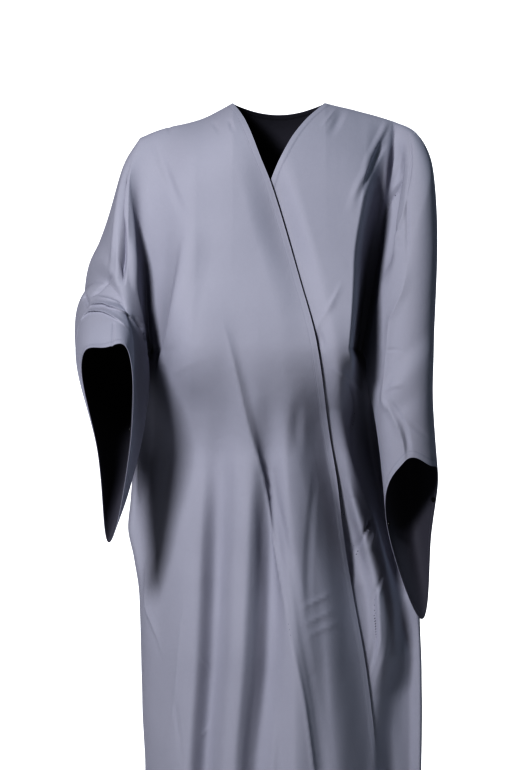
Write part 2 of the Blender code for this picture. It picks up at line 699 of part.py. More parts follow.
right = front_grid(-1, RIGHT_COLUMNS)
left = front_grid(1, LEFT_COLUMNS)
rear = back_grid(BACK_COLUMNS)
right_sleeve = sleeve_grid(-1)
left_sleeve = sleeve_grid(1)

join_side_seam(right, rear, 0, 1)
join_side_seam(left, rear, -1, -2)
join_armhole(right_sleeve, right, rear, 0, 1)
join_armhole(left_sleeve, left, rear, -1, -2)
for panel in (right, left, rear):
    panel[0] = pull_in(panel[0], panel[1], panel[1] * (1, -1, 1), panel[0] + (0, 0, -1))

cloth("front_right", right, False, True, cloth_slot, home)
cloth("front_left", left, False, False, cloth_slot, home)
cloth("back", rear, False, True, cloth_slot, home)
cloth("sleeve_right", right_sleeve, True, False, cloth_slot, home)
cloth("sleeve_left", left_sleeve, True, True, cloth_slot, home)
for snap_name, snap_side, snap_column in SNAPS:
    snap(snap_name, left_sleeve if snap_side > 0 else right_sleeve, snap_column, snap_slot, home)
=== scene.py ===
import math

import bpy
import numpy as np
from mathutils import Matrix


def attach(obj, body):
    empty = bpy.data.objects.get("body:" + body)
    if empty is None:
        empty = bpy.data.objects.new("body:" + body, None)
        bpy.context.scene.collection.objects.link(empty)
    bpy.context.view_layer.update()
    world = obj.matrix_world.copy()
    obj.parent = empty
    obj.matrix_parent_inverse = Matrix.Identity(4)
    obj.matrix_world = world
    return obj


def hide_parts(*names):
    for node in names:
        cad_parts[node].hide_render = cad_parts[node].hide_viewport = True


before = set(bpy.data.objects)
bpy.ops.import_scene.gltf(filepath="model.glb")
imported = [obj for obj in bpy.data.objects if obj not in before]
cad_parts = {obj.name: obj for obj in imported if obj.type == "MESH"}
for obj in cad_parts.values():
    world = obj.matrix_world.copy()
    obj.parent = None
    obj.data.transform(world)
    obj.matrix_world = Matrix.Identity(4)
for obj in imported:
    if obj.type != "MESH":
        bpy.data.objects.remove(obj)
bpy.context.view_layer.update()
print("frame loaded")


def metres(sizes):
    return np.array(sizes) / 1000


# Sizes are in metres, and outlines, folds and creases in millimetres. Drop is the
# distance below the neck points, x runs to the wearer's left, the front faces -y.
robe = {
    "length": 1.42,  # neck points to hem
    "underarm": 0.42,  # drop where sleeves and side seams meet
    "neckHalf": 0.078,
    "backNeckDip": 0.014,
    "backNeckLead": 0.034,
    "frontRound": 0.15,
    "backRound": 0.10,
    "roundPower": 0.75,
    "lapGap": 0.006,  # the left front lies this far behind the right front's edge
    "lapDepth": 0.015,
    "lapReach": 0.055,
    "lapFolds": 0.35,
    "lapEase": 0.036,
    "lapStart": 0.08,
    # share of the half width: flat floor, slope
    "rightValley": (0.0, 0.45),
    "leftValley": (0.05, 0.17),
    # drop, how much of that valley shows
    "rightSoftness": ((0.0, 1.0), (0.10, 1.0), (0.42, 0.35), (0.62, 0.0)),
    "leftSoftness": ((0.0, 0.2), (0.06, 0.3), (0.17, 0.9), (0.26, 1.0), (0.38, 1.0), (0.52, 0.0)),
    "calmDrops": (0.0, 0.14, 0.28, 0.52, 0.60, 0.72, 0.88, 1.02, 1.14, 1.42),
    "calmFrom": 0.70,  # share of the half width from which the underarm's dip is felt
    "ringFullness": 0.62,
    # how far the front stands forward
    "bellyDrops": (0.0, 0.22, 0.41, 0.60, 0.74, 0.94, 1.42),
    "bellyLead": (0.0, 0.0, 0.018, -0.042, -0.044, -0.014, 0.0),
    # how boxy the left front's section is
    "squareDrops": (0.0, 0.10, 0.24, 0.38, 0.54, 0.86, 1.02, 1.42),
    "leftSquare": (1.0, 1.4, 2.1, 1.8, 1.0, 0.85, 0.74, 0.74),
    # how soon folds rise from the side inwards, and how much sooner low on the left
    "sideRise": 1.6,
    "lowLeftRise": 1.4,
    "lowLeftFrom": 0.84,
    "lowLeftOver": 0.12,
}

cloth = {
    "wall": 0.0008,
    "hemWall": 0.0014,
    "hemWidth": 0.012,
    "hemFade": 0.003,
    "neckMargin": 0.004,
    "shadowOffset": 0.6,  # keeps steep folds free of broken shadows
}

# How finely each piece is laid out
layout = {
    "rowsAbove": 96,
    "rowsBelow": 226,
    "rowsPower": 1.15,
    "rightColumns": 146,
    "leftColumns": 108,
    "backColumns": 146,
    "sleeveRings": 196,
    "elbowRings": (0.70, 0.13, 1.5),  # right sleeve: share of its length, reach, how much closer
    "elbowTurn": (1.1, 1.0, 1.6),
    "evenRate": 3.0,  # a sleeve's points are evenly spaced after 1 / 3 of its length
    "armholeTurns": 241,
    "armholeTrials": 400,
    "edgeSteps": (0.0, 0.18, 0.42, 0.72),  # extra lines just inside a finished edge
}

# Body sections: drop, middle x, front reach, back reach, corner power
bodySections = np.array([
    (0.000, -0.010, 0.082, 0.088, 2.2),
    (0.130, -0.015, 0.092, 0.106, 2.4),
    (0.250, -0.025, 0.116, 0.112, 2.5),
    (0.420, -0.030, 0.134, 0.112, 2.3),
    (0.600, -0.025, 0.138, 0.124, 2.1),
    (0.880, -0.010, 0.140, 0.142, 2.1),
    (1.140, 0.000, 0.146, 0.156, 2.1),
    (1.420, 0.008, 0.154, 0.166, 2.1),
])

# Outermost lines of the body below the underarm: drop, x, y
rightSide = metres([
    (420, -215.7, 5), (436, -222.5, 19), (465, -231, 38), (510, -238, 52), (600, -248, 56),
    (680, -255, 47), (720, -258.5, 36), (775, -247, 20), (847, -237, 10), (1018, -232, 10),
    (1138, -227, 10), (1420, -224, 10)
])
leftSide = metres([
    (420, 141, 5), (437, 149, 14), (471, 156, 30), (520, 165, 50), (600, 186, 68), (740, 225, 70),
    (880, 243, 56), (1020, 246, 30), (1138, 244, 18), (1420, 243, 14)
])

# Side seams and front edges: drop, x on the front face
rightSeam = metres([
    (420, -215.7), (436, -222.3), (465, -230), (510, -236), (600, -241), (680, -238), (770, -228),
    (850, -228), (910, -206), (1000, -179), (1130, -204), (1420, -198)
])
leftSeam = metres([
    (420, 141), (437, 149), (471, 156), (520, 165), (600, 186), (700, 214), (780, 224), (861, 213),
    (918, 189), (986, 164), (1130, 140), (1420, 136)
])
rightEdge = metres([
    (0, -78), (33, -57), (104, -29), (142, -14), (307, 34), (406, 60), (554, 83), (645, 98.5),
    (753, 111.5), (861, 130), (969, 148.5), (1113, 165), (1420, 188)
])
leftEdge = metres([
    (0, 78), (33, 44), (69, 18), (142, -16), (307, -60), (554, -100), (802, -128), (1420, -168)
])

# Shoulder seams: distance from the neck point, fall
rightShoulder = metres([
    (0, 0), (22, -12), (58, -29), (126, -46), (158, -59.5)
])
leftShoulder = metres([
    (0, 0), (48, -12), (112, -30), (150, -45)
])

# Large folds of the front: path of (drop, x, height), reach to -x, reach to +x
frontFolds = {
    "rightSideHollow": ([(160, -200, 0), (260, -198, -10), (350, -205, -18), (430, -212, -28),
        (500, -214, -42), (600, -216, -46), (700, -224, -22), (800, -230, 0)], 50, 38),
    "rightArmRidge": ([(200, -146, 0), (275, -158, 4), (345, -173, 8), (420, -187, 10),
        (500, -196, 7), (600, -198, 0)], 22, 45),
    "rightThighRidge": ([(500, -125, 0), (620, -133, 4), (740, -142, 10), (930, -149, 12),
        (1110, -157, 12), (1420, -165, 12)], 60, 40),
    "rightThighValley": ([(500, -95, 0), (620, -98, -8), (740, -101, -15), (930, -108, -17),
        (1110, -121, -18), (1420, -132, -16)], 32, 30),
    "innerRidge": ([(480, -46, 0), (600, -49, 6), (740, -54, 16), (930, -63, 18), (1110, -77, 16),
        (1420, -90, 15)], 45, 27),
    "innerValley": ([(500, -19, 0), (620, -16, -10), (740, -14, -18), (930, -19, -18),
        (1110, -37, -15), (1420, -55, -14)], 28, 30),
    "middleRidge": ([(460, 12, 0), (600, 16, 8), (740, 25, 16), (930, 29, 18), (1110, 29, 16),
        (1420, 30, 15)], 35, 50),
    "edgeValley": ([(380, 55, 0), (500, 72, -8), (590, 86, -20), (690, 108, -38), (790, 124, -42),
        (930, 136, -38), (1110, 150, -33), (1420, 166, -26)], 60, 60),
    "leftDiagonalRidge": ([(360, 85, 0), (540, 99, 12), (640, 116, 14), (740, 150, 18),
        (800, 170, 20), (880, 180, 16), (1000, 175, 0)], 32, 32),
    "leftPanelLean": ([(600, 200, 0), (740, 205, -24), (900, 215, -32),
        (1420, 215, -30)], 100, 120),
    "underBelly": ([(300, -140, 0), (430, -145, 10), (530, -138, -10), (610, -132, -16),
        (800, -132, 0)], 60, 85),
    "leftSideHollow": ([(430, 145, 0), (480, 152, -50), (560, 162, -85), (660, 176, -88),
        (760, 202, -70), (860, 218, -30), (940, 212, 0)], 55, 60),
    "leftWingHollow": ([(840, 228, 0), (920, 210, -16), (1000, 196, -30), (1130, 192, -33),
        (1420, 196, -30)], 36, 58),
    "breastHollow": ([(60, -30, 0), (140, -12, -10), (210, 5, -16), (300, 32, -10),
        (420, 60, 0)], 55, 45),
}

# Large folds of the back, the same columns
backFolds = {
    "rightOuterRidge": ([(420, -150, 0), (700, -165, 8), (1420, -172, 13)], 45, 40),
    "rightValley": ([(340, -95, 0), (660, -112, -10), (1420, -122, -15)], 38, 40),
    "rightRidge": ([(500, -50, 0), (820, -62, 9), (1420, -68, 13)], 36, 32),
    "middleValley": ([(220, 2, 0), (600, -8, -9), (1420, -18, -15)], 46, 40),
    "leftRidge": ([(440, 45, 0), (780, 40, 10), (1420, 36, 14)], 34, 42),
    "leftValley": ([(300, 85, 0), (700, 100, -11), (1420, 98, -15)], 42, 38),
    "leftOuterRidge": ([(480, 120, 0), (800, 150, 8), (1420, 158, 12)], 40, 45),
}

# Sleeve rings from armhole to cuff, six corners (x, y, drop) each: over the
# arm, front high, front low, under the arm, back low, back high
rightRings = metres([
    [(-236, 0, 59.5), (-236, -48, 170), (-226, -42, 300),
     (-215.7, 5, 420), (-222, 62, 300), (-232, 55, 160)],
    [(-262, 0, 104), (-256, -82, 196), (-232, -84, 332),
     (-228, -10, 470), (-240, 76, 330), (-258, 76, 190)],
    [(-292, 4, 200), (-270, -96, 264), (-222, -96, 384),
     (-224, -30, 505), (-262, 70, 392), (-296, 80, 280)],
    [(-318, -4, 288), (-266, -110, 318), (-226, -110, 420),
     (-229, -56, 550), (-286, 40, 472), (-332, 58, 368)],
    [(-317, -56, 327), (-258, -124, 350), (-238, -138, 460),
     (-236, -92, 602), (-300, -30, 512), (-344, -14, 398)],
    [(-304, -130, 362), (-246, -160, 384), (-240, -166, 520),
     (-254, -134, 668), (-306, -110, 548), (-338, -104, 420)],
    [(-281, -222, 419), (-241.5, -214, 434), (-243, -196, 584),
     (-278, -172, 736), (-296, -178, 590), (-321, -206, 444)],
])
leftRings = metres([
    [(193, 0, 30), (187, -18, 130), (162, -4, 290),
     (141, 5, 420), (156, 40, 290), (178, 50, 130)],
    [(229, 0, 48), (220, -70, 126), (176, -64, 290),
     (147, -12, 438), (184, 60, 296), (224, 66, 134)],
    [(257, 0, 106), (246, -84, 160), (184, -82, 330),
     (148, -14, 464), (196, 64, 350), (244, 70, 196)],
    [(267, -2, 226), (252, -88, 262), (186, -90, 388),
     (152, -20, 494), (200, 56, 412), (244, 62, 300)],
    [(263, -6, 352), (249, -90, 372), (186, -92, 460),
     (160, -26, 530), (200, 44, 496), (240, 50, 430)],
    [(258, -10, 490), (246, -90, 490), (190, -90, 538),
     (170, -32, 600), (206, 34, 640), (240, 40, 600)],
    [(269.5, -20, 634), (252, -74, 614), (207.5, -88, 608),
     (179, -40, 700), (241, -14, 876), (260, 0, 730)],
])

# Rolls across a sleeve: ends as (along, turn), height, reach along
rightRolls = [
    ((0.43, -1.6), (0.49, 1.2), 0.007, 0.080),
    ((0.61, -1.7), (0.65, 1.1), 0.005, 0.070),
]
leftRolls = [
    ((0.80, 0.2), (0.72, 2.6), 0.006, 0.090),
]


def hermite(t, start, leave, stop, arrive):
    opening = (1 + 2 * t) * (1 - t) ** 2 * start + t * (1 - t) ** 2 * leave
    return opening + (t * t * (3 - 2 * t) * stop + t * t * (t - 1) * arrive)


def ease(keys, values, at, levelStart=False):
    # smooth curve through the values that never overshoots them
    keys = np.asarray(keys, float)
    values = np.asarray(values, float)
    step = np.diff(keys)
    rise = np.diff(values) / step
    tangent = np.zeros(len(keys))
    before, after = rise[:-1], rise[1:]
    same = before * after > 0
    tangent[1:-1][same] = 2 * before[same] * after[same] / (before[same] + after[same])
    tangent[0], tangent[-1] = 0.0 if levelStart else rise[0], rise[-1]
    at = np.clip(at, keys[0], keys[-1])
    i = np.clip(np.searchsorted(keys, at, side="right") - 1, 0, len(step) - 1)
    t = (at - keys[i]) / step[i]
    return hermite(t, values[i], step[i] * tangent[i], values[i + 1], step[i] * tangent[i + 1])


def column(table, index, at):
    return ease(table[:, 0], table[:, index], at)


def smooth(t):
    t = np.clip(t, 0.0, 1.0)
    return t * t * (3 - 2 * t)


def bell(offset):
    return np.cos(np.clip(offset, -1, 1) * math.pi / 2) ** 2


def unit(rows):
    return rows / np.maximum(np.linalg.norm(rows, axis=-1, keepdims=True), 1e-12)


def foldHeight(folds, x, drop):
    total = np.zeros(np.broadcast(x, drop).shape)
    for path, *reaches in folds.values():
        path, (reachRight, reachLeft) = metres(path), metres(reaches)
        height = ease(path[:, 0], path[:, 2], drop)
        offset = x - ease(path[:, 0], path[:, 1], drop)
        offset = offset / np.where(offset > 0, reachLeft, reachRight)
        near = (np.abs(offset) < 1) & (drop > path[0, 0]) & (drop <= path[-1, 0] + 1e-6)
        total += np.where(near, height * bell(offset), 0.0)
    return total


def ringCorners(rings, along):
    keys = np.linspace(0.0, 1.0, len(rings))
    corners = np.zeros((len(along), 6, 3))
    for corner in range(6):
        for axis in range(3):
            values = rings[:, corner, axis]
            corners[:, corner, axis] = ease(keys, values, along, levelStart=axis == 1)
    return corners


def sleevePoints(side, along, turn):
    # along has one value a ring, turn one row of values a ring
    rings, rolls = (leftRings, leftRolls) if side > 0 else (rightRings, rightRolls)
    corners = ringCorners(rings, along)
    turn = turn % 6
    i = turn.astype(int) % 6
    t = (turn - np.floor(turn))[..., None]
    ring = np.arange(len(along))[:, None]
    before, here = corners[ring, i - 1], corners[ring, i]
    there, after = corners[ring, (i + 1) % 6], corners[ring, (i + 2) % 6]
    leave = robe["ringFullness"] * (there - before)
    arrive = robe["ringFullness"] * (after - here)
    place = hermite(t, here, leave, there, arrive)
    height = np.zeros(turn.shape)
    for start, stop, top, reach in rolls:
        share = (turn - start[1]) % 6 / (stop[1] - start[1])
        offset = (along[:, None] - start[0] - (stop[0] - start[0]) * share) / reach
        near = (share <= 1) & (np.abs(offset) < 1)
        roll = top * np.sin(np.clip(share, 0, 1) * math.pi) * bell(offset)
        height += np.where(near, roll, 0.0)
    out = unit(place - corners.mean(axis=1)[:, None])
    return (place + out * height[..., None]) * (1, 1, -1)


def shoulderFall(x, back):
    between = np.where(back, -robe["backNeckDip"] * (1 - (x / robe["neckHalf"]) ** 2), 0.0)
    away = np.abs(x) - robe["neckHalf"]
    slope = np.where(x > 0, column(leftShoulder, 1, away), column(rightShoulder, 1, away))
    return np.where(away <= 0, between, slope)


def lean(drop):
    return 1 - smooth(drop / robe["underarm"])


def armhole(side, back):
    # row drops, turns and points down one side of an armhole
    turns = np.linspace(6.0 if back else 0.0, 3.0, layout["armholeTurns"])
    points = sleevePoints(side, np.array([0.0]), turns[None])[0]
    trial = np.linspace(0.0, robe["underarm"], layout["armholeTrials"])
    drops = np.zeros(len(points))
    for i, (x, _, z) in enumerate(points):
        height = -trial + shoulderFall(np.full(trial.shape, x), back) * lean(trial)
        drops[i] = np.interp(-z, -height, trial)
    drops[0], drops[-1] = 0.0, robe["underarm"]
    return drops, turns, points


flanks = [(side, back) for side in (-1, 1) for back in (False, True)]
armholes = {flank: armhole(*flank) for flank in flanks}


def sidePoint(side, back, drop):
    # x and y of the line where front and back meet
    place = [0.0, 0.0]
    high = drop < robe["underarm"]
    for way, rear in flanks:
        table = leftSide if way > 0 else rightSide
        drops, _, points = armholes[way, rear]
        mine = (side == way) & (back == rear)
        for axis in (0, 1):
            above, below = np.interp(drop, drops, points[:, axis]), column(table, axis + 1, drop)
            place[axis] = np.where(mine, np.where(high, above, below), place[axis])
    return place


calmDrops = np.array(robe["calmDrops"])
calmLines = {
    (side, back): sidePoint(np.full(calmDrops.shape, side), back, calmDrops)
    for side, back in flanks
}


def calmPoint(side, back, drop):
    # the body's side line without its sharp turn at the underarm
    place = [0.0, 0.0]
    for (way, rear), lines in calmLines.items():
        mine = (side == way) & (back == rear)
        for axis in (0, 1):
            place[axis] = np.where(mine, ease(calmDrops, lines[axis], drop), place[axis])
    return place


def valley(side, across, share, drop):
    # the section's share of its full depth, with the valley beside a sleeve
    for way, name in ((-1, "right"), (1, "left")):
        floor, slope = robe[name + "Valley"]
        soft = column(np.array(robe[name + "Softness"]), 1, drop)
        sunk = share + (smooth((1 - across - floor) / slope) - share) * soft
        share = np.where(side == way, sunk, share)
    return share


def rounded(below, reach):
    # how far the cloth has come out, this far below the shoulder
    return np.sin(np.minimum(below / reach, 1.0) * math.pi / 2) ** robe["roundPower"]


def bodyPoints(drop, angle, underLap):
    # angle is 0 at the front middle, +-90 at the sides, 180 at the back middle
    side = np.where(angle >= 0, 1, -1)
    back = np.abs(angle) > 90
    middle = column(bodySections, 1, drop)
    power = column(bodySections, 4, drop)
    sideX, sideY = sidePoint(side, back, drop)
    turn = np.radians(np.abs(angle))
    calmX, calmY = calmPoint(side, back, drop)
    sharp = smooth((np.sin(turn) - robe["calmFrom"]) / (1 - robe["calmFrom"]))
    sideY = calmY + (sideY - calmY) * sharp
    x = middle + (sideX - middle) * np.sin(turn)
    reach = np.sin(turn) * (sharp + (1 - sharp) * (sideX - middle) / (calmX - middle))
    turn = np.arcsin(np.clip(reach, 0, 1))
    fall = shoulderFall(x, back)
    z = -drop + fall * lean(drop)
    square = ease(robe["squareDrops"], robe["leftSquare"], drop)
    power = power * np.where((side > 0) & ~back, square, 1.0)
    share = np.abs(np.cos(turn)) ** (2 / power)
    share = valley(side, np.sin(turn), share, drop)

    below = np.maximum(fall - z, 0.0)
    lead = robe["backNeckLead"] * (1 - (x / robe["neckHalf"]) ** 2)
    behind = below + np.where(np.abs(x) < robe["neckHalf"], lead, 0.0)
    backReach = (column(bodySections, 3, drop) - sideY) * share
    backY = sideY + backReach * rounded(behind, robe["backRound"])
    backY = backY + foldHeight(backFolds, x, drop) * smooth(share * robe["sideRise"])

    frontReach = (column(bodySections, 2, drop) + sideY) * share
    frontY = sideY - frontReach * rounded(below, robe["frontRound"])
    low = smooth((drop - robe["lowLeftFrom"]) / robe["lowLeftOver"])
    rise = robe["sideRise"] + np.where(side > 0, robe["lowLeftRise"], 0.0) * low
    folds = foldHeight(frontFolds, x, drop) * smooth(share * rise)
    belly = ease(robe["bellyDrops"], robe["bellyLead"], drop)
    frontY = frontY - belly * smooth(share * robe["sideRise"])

    # the left front goes under the right one and lies calmer there
    beside = x - column(rightEdge, 1, drop)
    deep = smooth(-beside / robe["lapReach"])
    gap = robe["lapGap"] * smooth(1 - beside / robe["lapEase"])
    gap = gap + (robe["lapDepth"] - robe["lapGap"]) * deep
    under = underLap & ~back
    folds = np.where(under, folds * (1 + (robe["lapFolds"] - 1) * deep), folds)
    frontY = frontY + np.where(under, gap * smooth(drop / robe["lapStart"]), 0.0) - folds
    return np.stack([x, np.where(back, backY, frontY), z], axis=-1)


def angleOf(x, drop):
    middle = column(bodySections, 1, drop)
    side = np.where(x > middle, 1, -1)
    sideX, _ = sidePoint(side, False, drop)
    return side * np.degrees(np.arcsin(np.minimum(1.0, (x - middle) / (sideX - middle))))


def seamAngle(side, drop):
    seamX = column(leftSeam if side > 0 else rightSeam, 1, drop)
    return np.where(drop <= robe["underarm"], 90.0 * side, angleOf(seamX, drop))


def rowDrops():
    above = np.linspace(0.0, 1.0, layout["rowsAbove"] + 1) ** layout["rowsPower"]
    below = np.linspace(robe["underarm"], robe["length"], layout["rowsBelow"] + 1)
    last = below[-1] - np.array(layout["edgeSteps"][:0:-1]) * (below[1] - below[0])
    return np.concatenate([robe["underarm"] * above, below[1:-1], last, below[-1:]])


def shares(columns, finishedStart=False):
    # even steps across a piece, closer just inside a finished edge
    even = np.linspace(0.0, 1.0, columns + 1)
    if finishedStart:
        even = np.concatenate([np.array(layout["edgeSteps"]) / columns, even[1:]])
    return even


def evenWidths(turns, drop, across, back=False):
    # above the underarm, the columns go over to even widths towards the shoulder
    sines = np.sin(np.radians(turns))
    level = sines[:, :1] + (sines[:, -1:] - sines[:, :1]) * across
    sines = sines + (level - sines) * lean(drop)
    angles = np.degrees(np.arcsin(np.clip(sines, -1, 1)))
    return np.where(drop < robe["underarm"], 180 - angles if back else angles, turns)


def frontGrid(side, columns):
    drop = rowDrops()[:, None]
    edge = column(rightEdge if side < 0 else leftEdge, 1, drop)
    start, stop = angleOf(edge, drop), seamAngle(side, drop)
    across = shares(columns, finishedStart=True)
    turns = evenWidths(start + (stop - start) * across, drop, across)
    drop = np.broadcast_to(drop, turns.shape)
    return bodyPoints(drop, turns, np.full(turns.shape, side > 0))


def backGrid(columns):
    drop = rowDrops()[:, None]
    start, stop = seamAngle(-1, drop) + 360, seamAngle(1, drop)
    across = shares(columns)
    turns = evenWidths(start + (stop - start) * across, drop, across, back=True)
    turns = np.where(turns > 180, turns - 360, turns)
    return bodyPoints(np.broadcast_to(drop, turns.shape), turns, turns > 0)


def gather(values, whole, place, reach, closer):
    # brings lines that run over 0 to whole closer together round one place
    even = np.linspace(0.0, whole, 600)
    near = 1 + closer * np.exp(-((even - place) / reach) ** 2)
    passed = np.concatenate([[0.0], np.cumsum((near[1:] + near[:-1]) / 2)])
    return np.interp(values, passed / passed[-1] * whole, even)


def sleeveGrid(side):
    # the first ring meets the body's rows one for one
    rows = rowDrops()[: layout["rowsAbove"] + 1]
    front, back = armholes[side, False], armholes[side, True]
    down = np.interp(rows, front[0], front[1])
    up = np.interp(rows, back[0], back[1])[::-1]
    turns = np.concatenate([down, up[1:-1]])
    even = np.linspace(0, 6, 2 * len(rows) - 1)[:-1]
    along = 1 - shares(layout["sleeveRings"], finishedStart=True)[::-1]
    if side < 0:
        along = gather(along, 1, *layout["elbowRings"])
        even = gather(even, 6, *layout["elbowTurn"])
    blend = smooth(along * layout["evenRate"])[:, None]
    return sleevePoints(side, along, turns + (even - turns) * blend)


def gridNormals(points, closed, flip):
    down = np.gradient(points, axis=0)
    if closed:
        across = np.roll(points, -1, axis=1) - np.roll(points, 1, axis=1)
    else:
        across = np.gradient(points, axis=1)
    normal = unit(np.cross(across, down))
    return -normal if flip else normal


# Creases. Each row: path of (x, drop, height) as seen on its face, reach
# to both sides or (right, left) of the way it runs, whether it is soft or crisp,
# and for a fold that hangs over, how far its lip leans to the right
frontRightCreases = {
    "longPress": ([(-95, 369, 0), (-85, 402, 2), (-68, 471, 4), (-49, 555, 5.5), (-29, 636, 6),
        (-3, 757, 5.5), (20, 895, 3.2), (38, 994, 3.6), (53, 1106, 4),
        (78, 1300, 0)], (30, 14), "crisp"),
    "longPressLight": ([(-85, 402, 0), (-49, 555, 1.4), (-29, 636, 2), (-3, 757, 1.8),
        (20, 895, 1.2), (38, 994, 2), (53, 1106, 2.4), (78, 1300, 0)], (8, 9), "crisp"),
    "longPressShade": ([(-72, 414, 0), (-55, 471, -0.8), (-34, 555, -1.4), (-14, 636, -2),
        (14, 756, -2.4), (38, 895, -2), (56, 996, -1.6), (71, 1108, -1.4)], (10, 16), "soft"),
    "bellyDip": ([(29, 498, 0), (29, 554, -3), (29, 603, 0)], 18, "soft"),
    "crossPressUpper": ([(33, 848, 0), (60, 838, 2.4), (92, 826, 0)], (8, 10), "crisp"),
    "crossPressMiddle": ([(37, 875, 0), (63, 865, 2.2), (92, 854, 0)], (8, 10), "crisp"),
    "crossPressLower": ([(44, 894, 0), (71, 884, 2.2), (99, 877, 0)], (8, 10), "crisp"),
    "outerThighPress": ([(-158, 825, 0), (-166, 901, 1.2), (-173, 985, 1.2),
        (-180, 1042, 0)], 9, "crisp"),
    "outerShinPress": ([(-176, 985, 0), (-168, 1051, -1.4), (-161, 1112, 0)], 10, "soft"),
    "neckTuckInner": ([(-84, 31, 0), (-81, 42, -2), (-76, 59, 0)], 6, "soft"),
    "neckTuckOuter": ([(-111, 33, 0), (-106, 45, -1.4), (-99, 60, 0)], 7, "soft"),
    "shoulderPull": ([(-210, 66, 0), (-186, 133, -3), (-153, 209, 0)], 13, "soft"),
    "armRidge": ([(-148, 209, 0), (-159, 265, 3), (-169, 323, 5), (-178, 372, 6), (-187, 413, 6),
        (-200, 448, 5), (-209, 478, 0)], (20, 34), "soft"),
    "shoulderMark": ([(-187, 32, 0), (-186, 44, -1.2), (-186, 56, 0)], 5, "soft"),
    "hipLine": ([(-183, 465, 0), (-158, 451, 1), (-126, 438, 0)], 8, "crisp"),
    "shinRumpleUpper": ([(-136, 925, 0), (-123, 940, 0.8), (-112, 954, 0)], 7, "crisp"),
    "shinRumpleLower": ([(-138, 1066, 0), (-123, 1055, 0.8), (-110, 1039, 0)], 7, "crisp"),
    "wingFold": ([(-222, 767, 0), (-226, 807, 2.2), (-226, 848, 3), (-215, 880, 2.6),
        (-203, 909, 1.4), (-190, 951, 0)], (10, 18), "crisp"),
    "innerKneeLine": ([(61, 621, 0), (53, 702, -2), (48, 799, -2), (48, 897, 0)], 14, "soft"),
}
frontLeftCreases = {
    "collarPress": ([(99, 8, 0), (86, 26, 2.2), (70, 47, 0)], 8, "crisp"),
    "collarShade": ([(111, 9, 0), (99, 35, -3), (83, 64, 0)], 11, "soft"),
    "pinchRidge": ([(185, 29, 0), (176, 49, 3), (164, 71, 3.4), (152, 95, 2.2),
        (139, 122, 0)], 9, "soft"),
    "pinchShade": ([(178, 68, 0), (164, 96, -5), (153, 122, -4.6), (139, 152, -3),
        (125, 181, 0)], 10, "soft"),
    "chestPull": ([(157, 100, 0), (132, 149, 2.4), (115, 196, 0)], 12, "soft"),
    "closurePull": ([(104, 307, 0), (85, 344, 2.6), (62, 382, 1)], (6, 12), "crisp"),
    "closureGap": ([(62, 386, 0), (67, 404, -3), (74, 428, 0)], 10, "soft"),
    "waistPull": ([(82, 445, 0), (109, 466, 2.2), (140, 490, 1)], (6, 14), "crisp"),
    "beltShade": ([(108, 458, 0), (130, 508, -4), (122, 565, -4), (128, 621, 0)], 12, "soft"),
    "diagonalPress": ([(94, 498, 0), (109, 571, 2.2), (126, 629, 4), (145, 679, 4.4),
        (160, 710, 3.6)], (20, 16), "soft"),
    "kneeFold": ([(160, 700, 0), (152, 718, -4), (142, 738, -5), (132, 757, -3),
        (126, 775, 0)], (13, 5), "crisp"),
    "edgeWedge": ([(90, 580, 0), (106, 680, -7), (117, 735, -10), (125, 775, -8),
        (130, 820, 0)], (30, 28), "soft"),
    "kneeFoldLight": ([(168, 718, 0), (159, 740, 3), (150, 763, 0)], 12, "soft"),
    "cornerPressOuter": ([(185, 794, 0), (167, 836, 3), (170, 904, 3),
        (155, 974, 0)], (4, 8), "crisp"),
    "cornerPressInner": ([(176, 799, 0), (160, 840, -3), (162, 903, -2.8),
        (150, 976, 0)], 6, "soft"),
}
sleeveRightCreases = {
    "outerPress": ([(-249, 85, 0), (-256, 130, -5), (-257, 179, -9), (-257, 230, -12),
        (-257, 265, -15), (-258, 290, -13), (-259, 314, 0)], (15, 6), "soft"),
    "outerStrip": ([(-259, 98, 0), (-270, 169, 2.4), (-276, 238, 3), (-282, 305, 0)], 12, "soft"),
    "strapFold": ([(-251, 135, 0), (-246, 204, 4), (-242, 272, 6), (-236, 330, 0)], 13, "soft"),
    "elbowTuck": ([(-275, 294, 0), (-286, 309, -3), (-301, 324, -4),
        (-314, 332, 0)], (10, 7), "soft"),
    "elbowNotch": ([(-328, 330, -5), (-322, 341, -5), (-315, 352, 0)], 7, "soft"),
    "upperLine": ([(-308, 331, 0), (-291, 337, 3), (-277, 341, 3),
        (-256, 347, 0)], (6, 8), "crisp"),
    "upperRoll": ([(-319.1, 353.6, 0), (-305.8, 345.3, 4), (-290.9, 345.3, 5.5), (-276.8, 351.1, 6),
        (-262.7, 356.9, 4.5), (-245.3, 367.7, 2), (-238, 374, 0)], (6, 14), "crisp", 6),
    "lowerRoll": ([(-332.4, 376.8, 0), (-321.6, 363.5, 4), (-309.2, 356.9, 5), (-292.6, 357.7, 5.5),
        (-274.3, 365.2, 5), (-266, 371, 4), (-250.3, 384.2, 1.5),
        (-244, 390, 0)], (6, 8), "crisp", 6),
    "cuffValley": ([(-245.3, 364, 0), (-234, 376, -3), (-225, 396, -4), (-218.5, 420, -3),
        (-215, 440, 0)], (7, 9), "soft"),
    "cuffSeam": ([(-270.2, 376, 0), (-270.2, 382, -2.2), (-270, 400, -2.2),
        (-269.5, 425, -1.8)], (5, 4), "crisp"),
    "outerNotch": ([(-331, 375, 0), (-335, 395, -4), (-335, 419, 0)], 5, "soft"),
}
